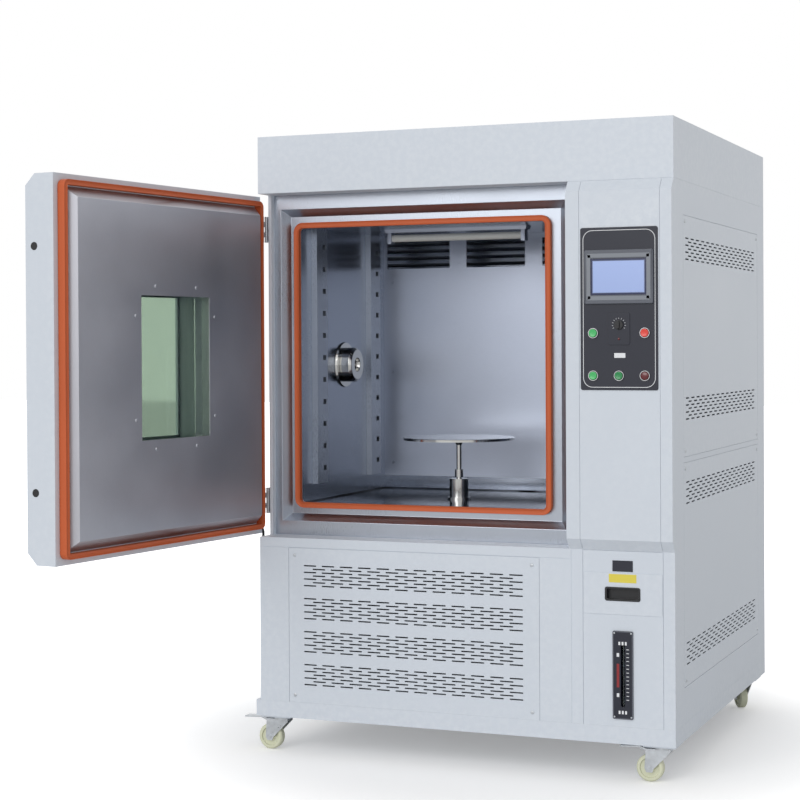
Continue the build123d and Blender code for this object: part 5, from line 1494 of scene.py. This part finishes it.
@dataclass
class Casters:
    """Swivel casters with brake pedals at the front. Edge rounds are in millimetres."""

    corners: tuple[str, ...] = ("front_left", "front_right", "rear_left", "rear_right")
    fork_edge: float = 0.5
    wheel_edge: float = 0.8
    pedal_edge: float = 0.8

    def build(self) -> None:
        """Dresses forks, wheels and pedals."""
        for corner in self.corners:
            fork, wheel, pedal = f"fork_{corner}", f"wheel_{corner}", f"pedal_{corner}"
            install(softened(fork, self.fork_edge), f"swivel_{corner}", "zinc", ZINC, fork)
            install(softened(wheel, self.wheel_edge, 2, 25, 0.2), f"roller_{corner}", "nylon", NYLON, wheel)
            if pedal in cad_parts:
                install(softened(pedal, self.pedal_edge), f"brake_{corner}", "zinc", ZINC, pedal)


@dataclass
class Studio:
    """Floor, light and camera. Distances are in metres, the camera's turns in degrees."""

    distance: tuple[float, float, float] = (1.8060, -4.8265, 1.1899)
    yaw: float = 22.293
    pitch: float = -0.509
    roll: float = -0.304
    lens: float = 82.72
    shift: float = -0.0484
    shadow_reach: float = 0.7
    shadow_fade: float = 1.1
    floor_lift: float = 0.25
    floor_size: float = 60.0
    sky: float = 0.60
    sun_power: float = 1.1
    sun_spread: float = 45.0
    sun_from: tuple[float, float, float] = (-0.15, -0.9, 0.42)

    def camera(self) -> None:
        """Stands the camera where the photograph was taken from."""
        yaw, pitch, roll = (math.radians(angle) for angle in (self.yaw, self.pitch, self.roll))
        right = Vector((math.cos(yaw), math.sin(yaw), 0))
        ahead = Vector((-math.sin(yaw), math.cos(yaw), 0))
        up = Vector((0, 0, 1))
        ahead, up = ahead * math.cos(pitch) + up * math.sin(pitch), up * math.cos(pitch) - ahead * math.sin(pitch)
        right, up = right * math.cos(roll) + up * math.sin(roll), up * math.cos(roll) - right * math.sin(roll)
        data = bpy.data.cameras.new("camera")
        data.lens = self.lens
        data.sensor_width = 36
        data.shift_y = self.shift
        obj = bpy.data.objects.new("camera", data)
        bpy.context.scene.collection.objects.link(obj)
        turn = Matrix((right, up, -ahead)).transposed().to_4x4()
        place = Vector((SITE.centre, SITE.front, 0)) + Vector(self.distance)
        obj.matrix_world = Matrix.Translation(place) @ turn
        bpy.context.scene.camera = obj

    def softbox(self) -> None:
        """Hangs one wide, far light that is even over the whole object."""
        data = bpy.data.lights.new("softbox_front", "SUN")
        data.angle = math.radians(self.sun_spread)
        data.energy = self.sun_power
        obj = bpy.data.objects.new("softbox_front", data)
        bpy.context.scene.collection.objects.link(obj)
        obj.rotation_mode = "QUATERNION"
        obj.rotation_quaternion = (-Vector(self.sun_from)).to_track_quat("-Z", "Y")

    def world(self) -> None:
        """Soft light all round, which the camera, metal and glass see as white."""
        world = bpy.data.worlds.new("studio")
        bpy.context.scene.world = world
        world.use_nodes = True
        bench = Bench(world.node_tree)
        path = bench.add("LightPath").outputs
        seen = bench.maths("MAXIMUM", path["Is Camera Ray"], path["Is Transmission Ray"])
        seen = bench.maths("MAXIMUM", seen, path["Is Glossy Ray"])
        mix = bench.add("MixShader")
        bench.wire(seen, mix.inputs["Fac"])
        for number, strength in ((1, self.sky), (2, 1.0)):
            light = bench.add("Background")
            light.inputs["Color"].default_value = (1, 1, 1, 1)
            light.inputs["Strength"].default_value = strength
            bench.wire(light.outputs[0], mix.inputs[number])
        bench.wire(mix.outputs[0], bench.add("OutputWorld").inputs["Surface"])

    def floor(self) -> None:
        """Pale floor that keeps the object's shadow and fades into white."""
        bpy.ops.object.select_all(action="DESELECT")
        bpy.ops.mesh.primitive_plane_add(size=self.floor_size, location=(SITE.centre, SITE.front, -0.5 * MM))
        obj = settle(bpy.context.object)
        obj.name = "studio_floor"
        material = bpy.data.materials.new("studio_floor")
        material.use_nodes = True
        bench = Bench(material.node_tree)
        matt = bench.add("BsdfDiffuse")
        matt.inputs["Color"].default_value = (0.88, 0.88, 0.88, 1)
        away = bench.add("VectorMath", operation="DISTANCE")
        away.inputs[1].default_value = SITE.at(0, 500, 0)
        bench.wire(bench.add("TexCoord").outputs["Object"], away.inputs[0])
        far = self.shadow_reach + self.shadow_fade
        fade = bench.add("MapRange", interpolation_type="SMOOTHSTEP")
        for name, number in zip(("From Min", "From Max", "To Min"), (self.shadow_reach, far, self.floor_lift)):
            fade.inputs[name].default_value = number
        bench.wire(away.outputs["Value"], fade.inputs["Value"])
        lift = bench.add("Emission")
        strength = bench.maths("MULTIPLY", bench.add("LightPath").outputs["Is Camera Ray"], fade.outputs[0])
        bench.wire(strength, lift.inputs["Strength"])
        both = bench.add("AddShader")
        bench.wire(matt.outputs[0], both.inputs[0])
        bench.wire(lift.outputs[0], both.inputs[1])
        bench.wire(both.outputs[0], bench.add("OutputMaterial").inputs["Surface"])
        obj.data.materials.append(material)

    def build(self) -> None:
        """Sets up the whole studio."""
        bpy.context.scene.view_settings.view_transform = "Standard"
        self.floor()
        self.world()
        self.softbox()
        self.camera()


def main() -> None:
    """Builds the sub-assemblies in order and stands them in the studio."""
    logging.basicConfig(level=logging.INFO, format="%(name)s %(message)s")
    assemblies = [
        Studio(),
        Carcass(),
        VentPanel("grille_panel", Facing.FRONT, 57.2, 9.65, 12, -458.4, (550.6, 454.9, 358.8, 263.0)),
        VentPanel("side_panel_upper", Facing.RIGHT, 63.8, 9.6, 15, 150, (1478.8, 1039.8)),
        VentPanel("side_panel_lower", Facing.RIGHT, 63.8, 9.6, 15, 150, (808.8, 366.8)),
        ScrewHeads(),
        ControlFace(),
        LowerCover(),
        Chamber(),
        Door(),
        DoorCable(),
        Casters(),
    ]
    for assembly in assemblies:
        assembly.build()
        log.info("%s done", type(assembly).__name__)


if __name__ == "__main__":
    main()
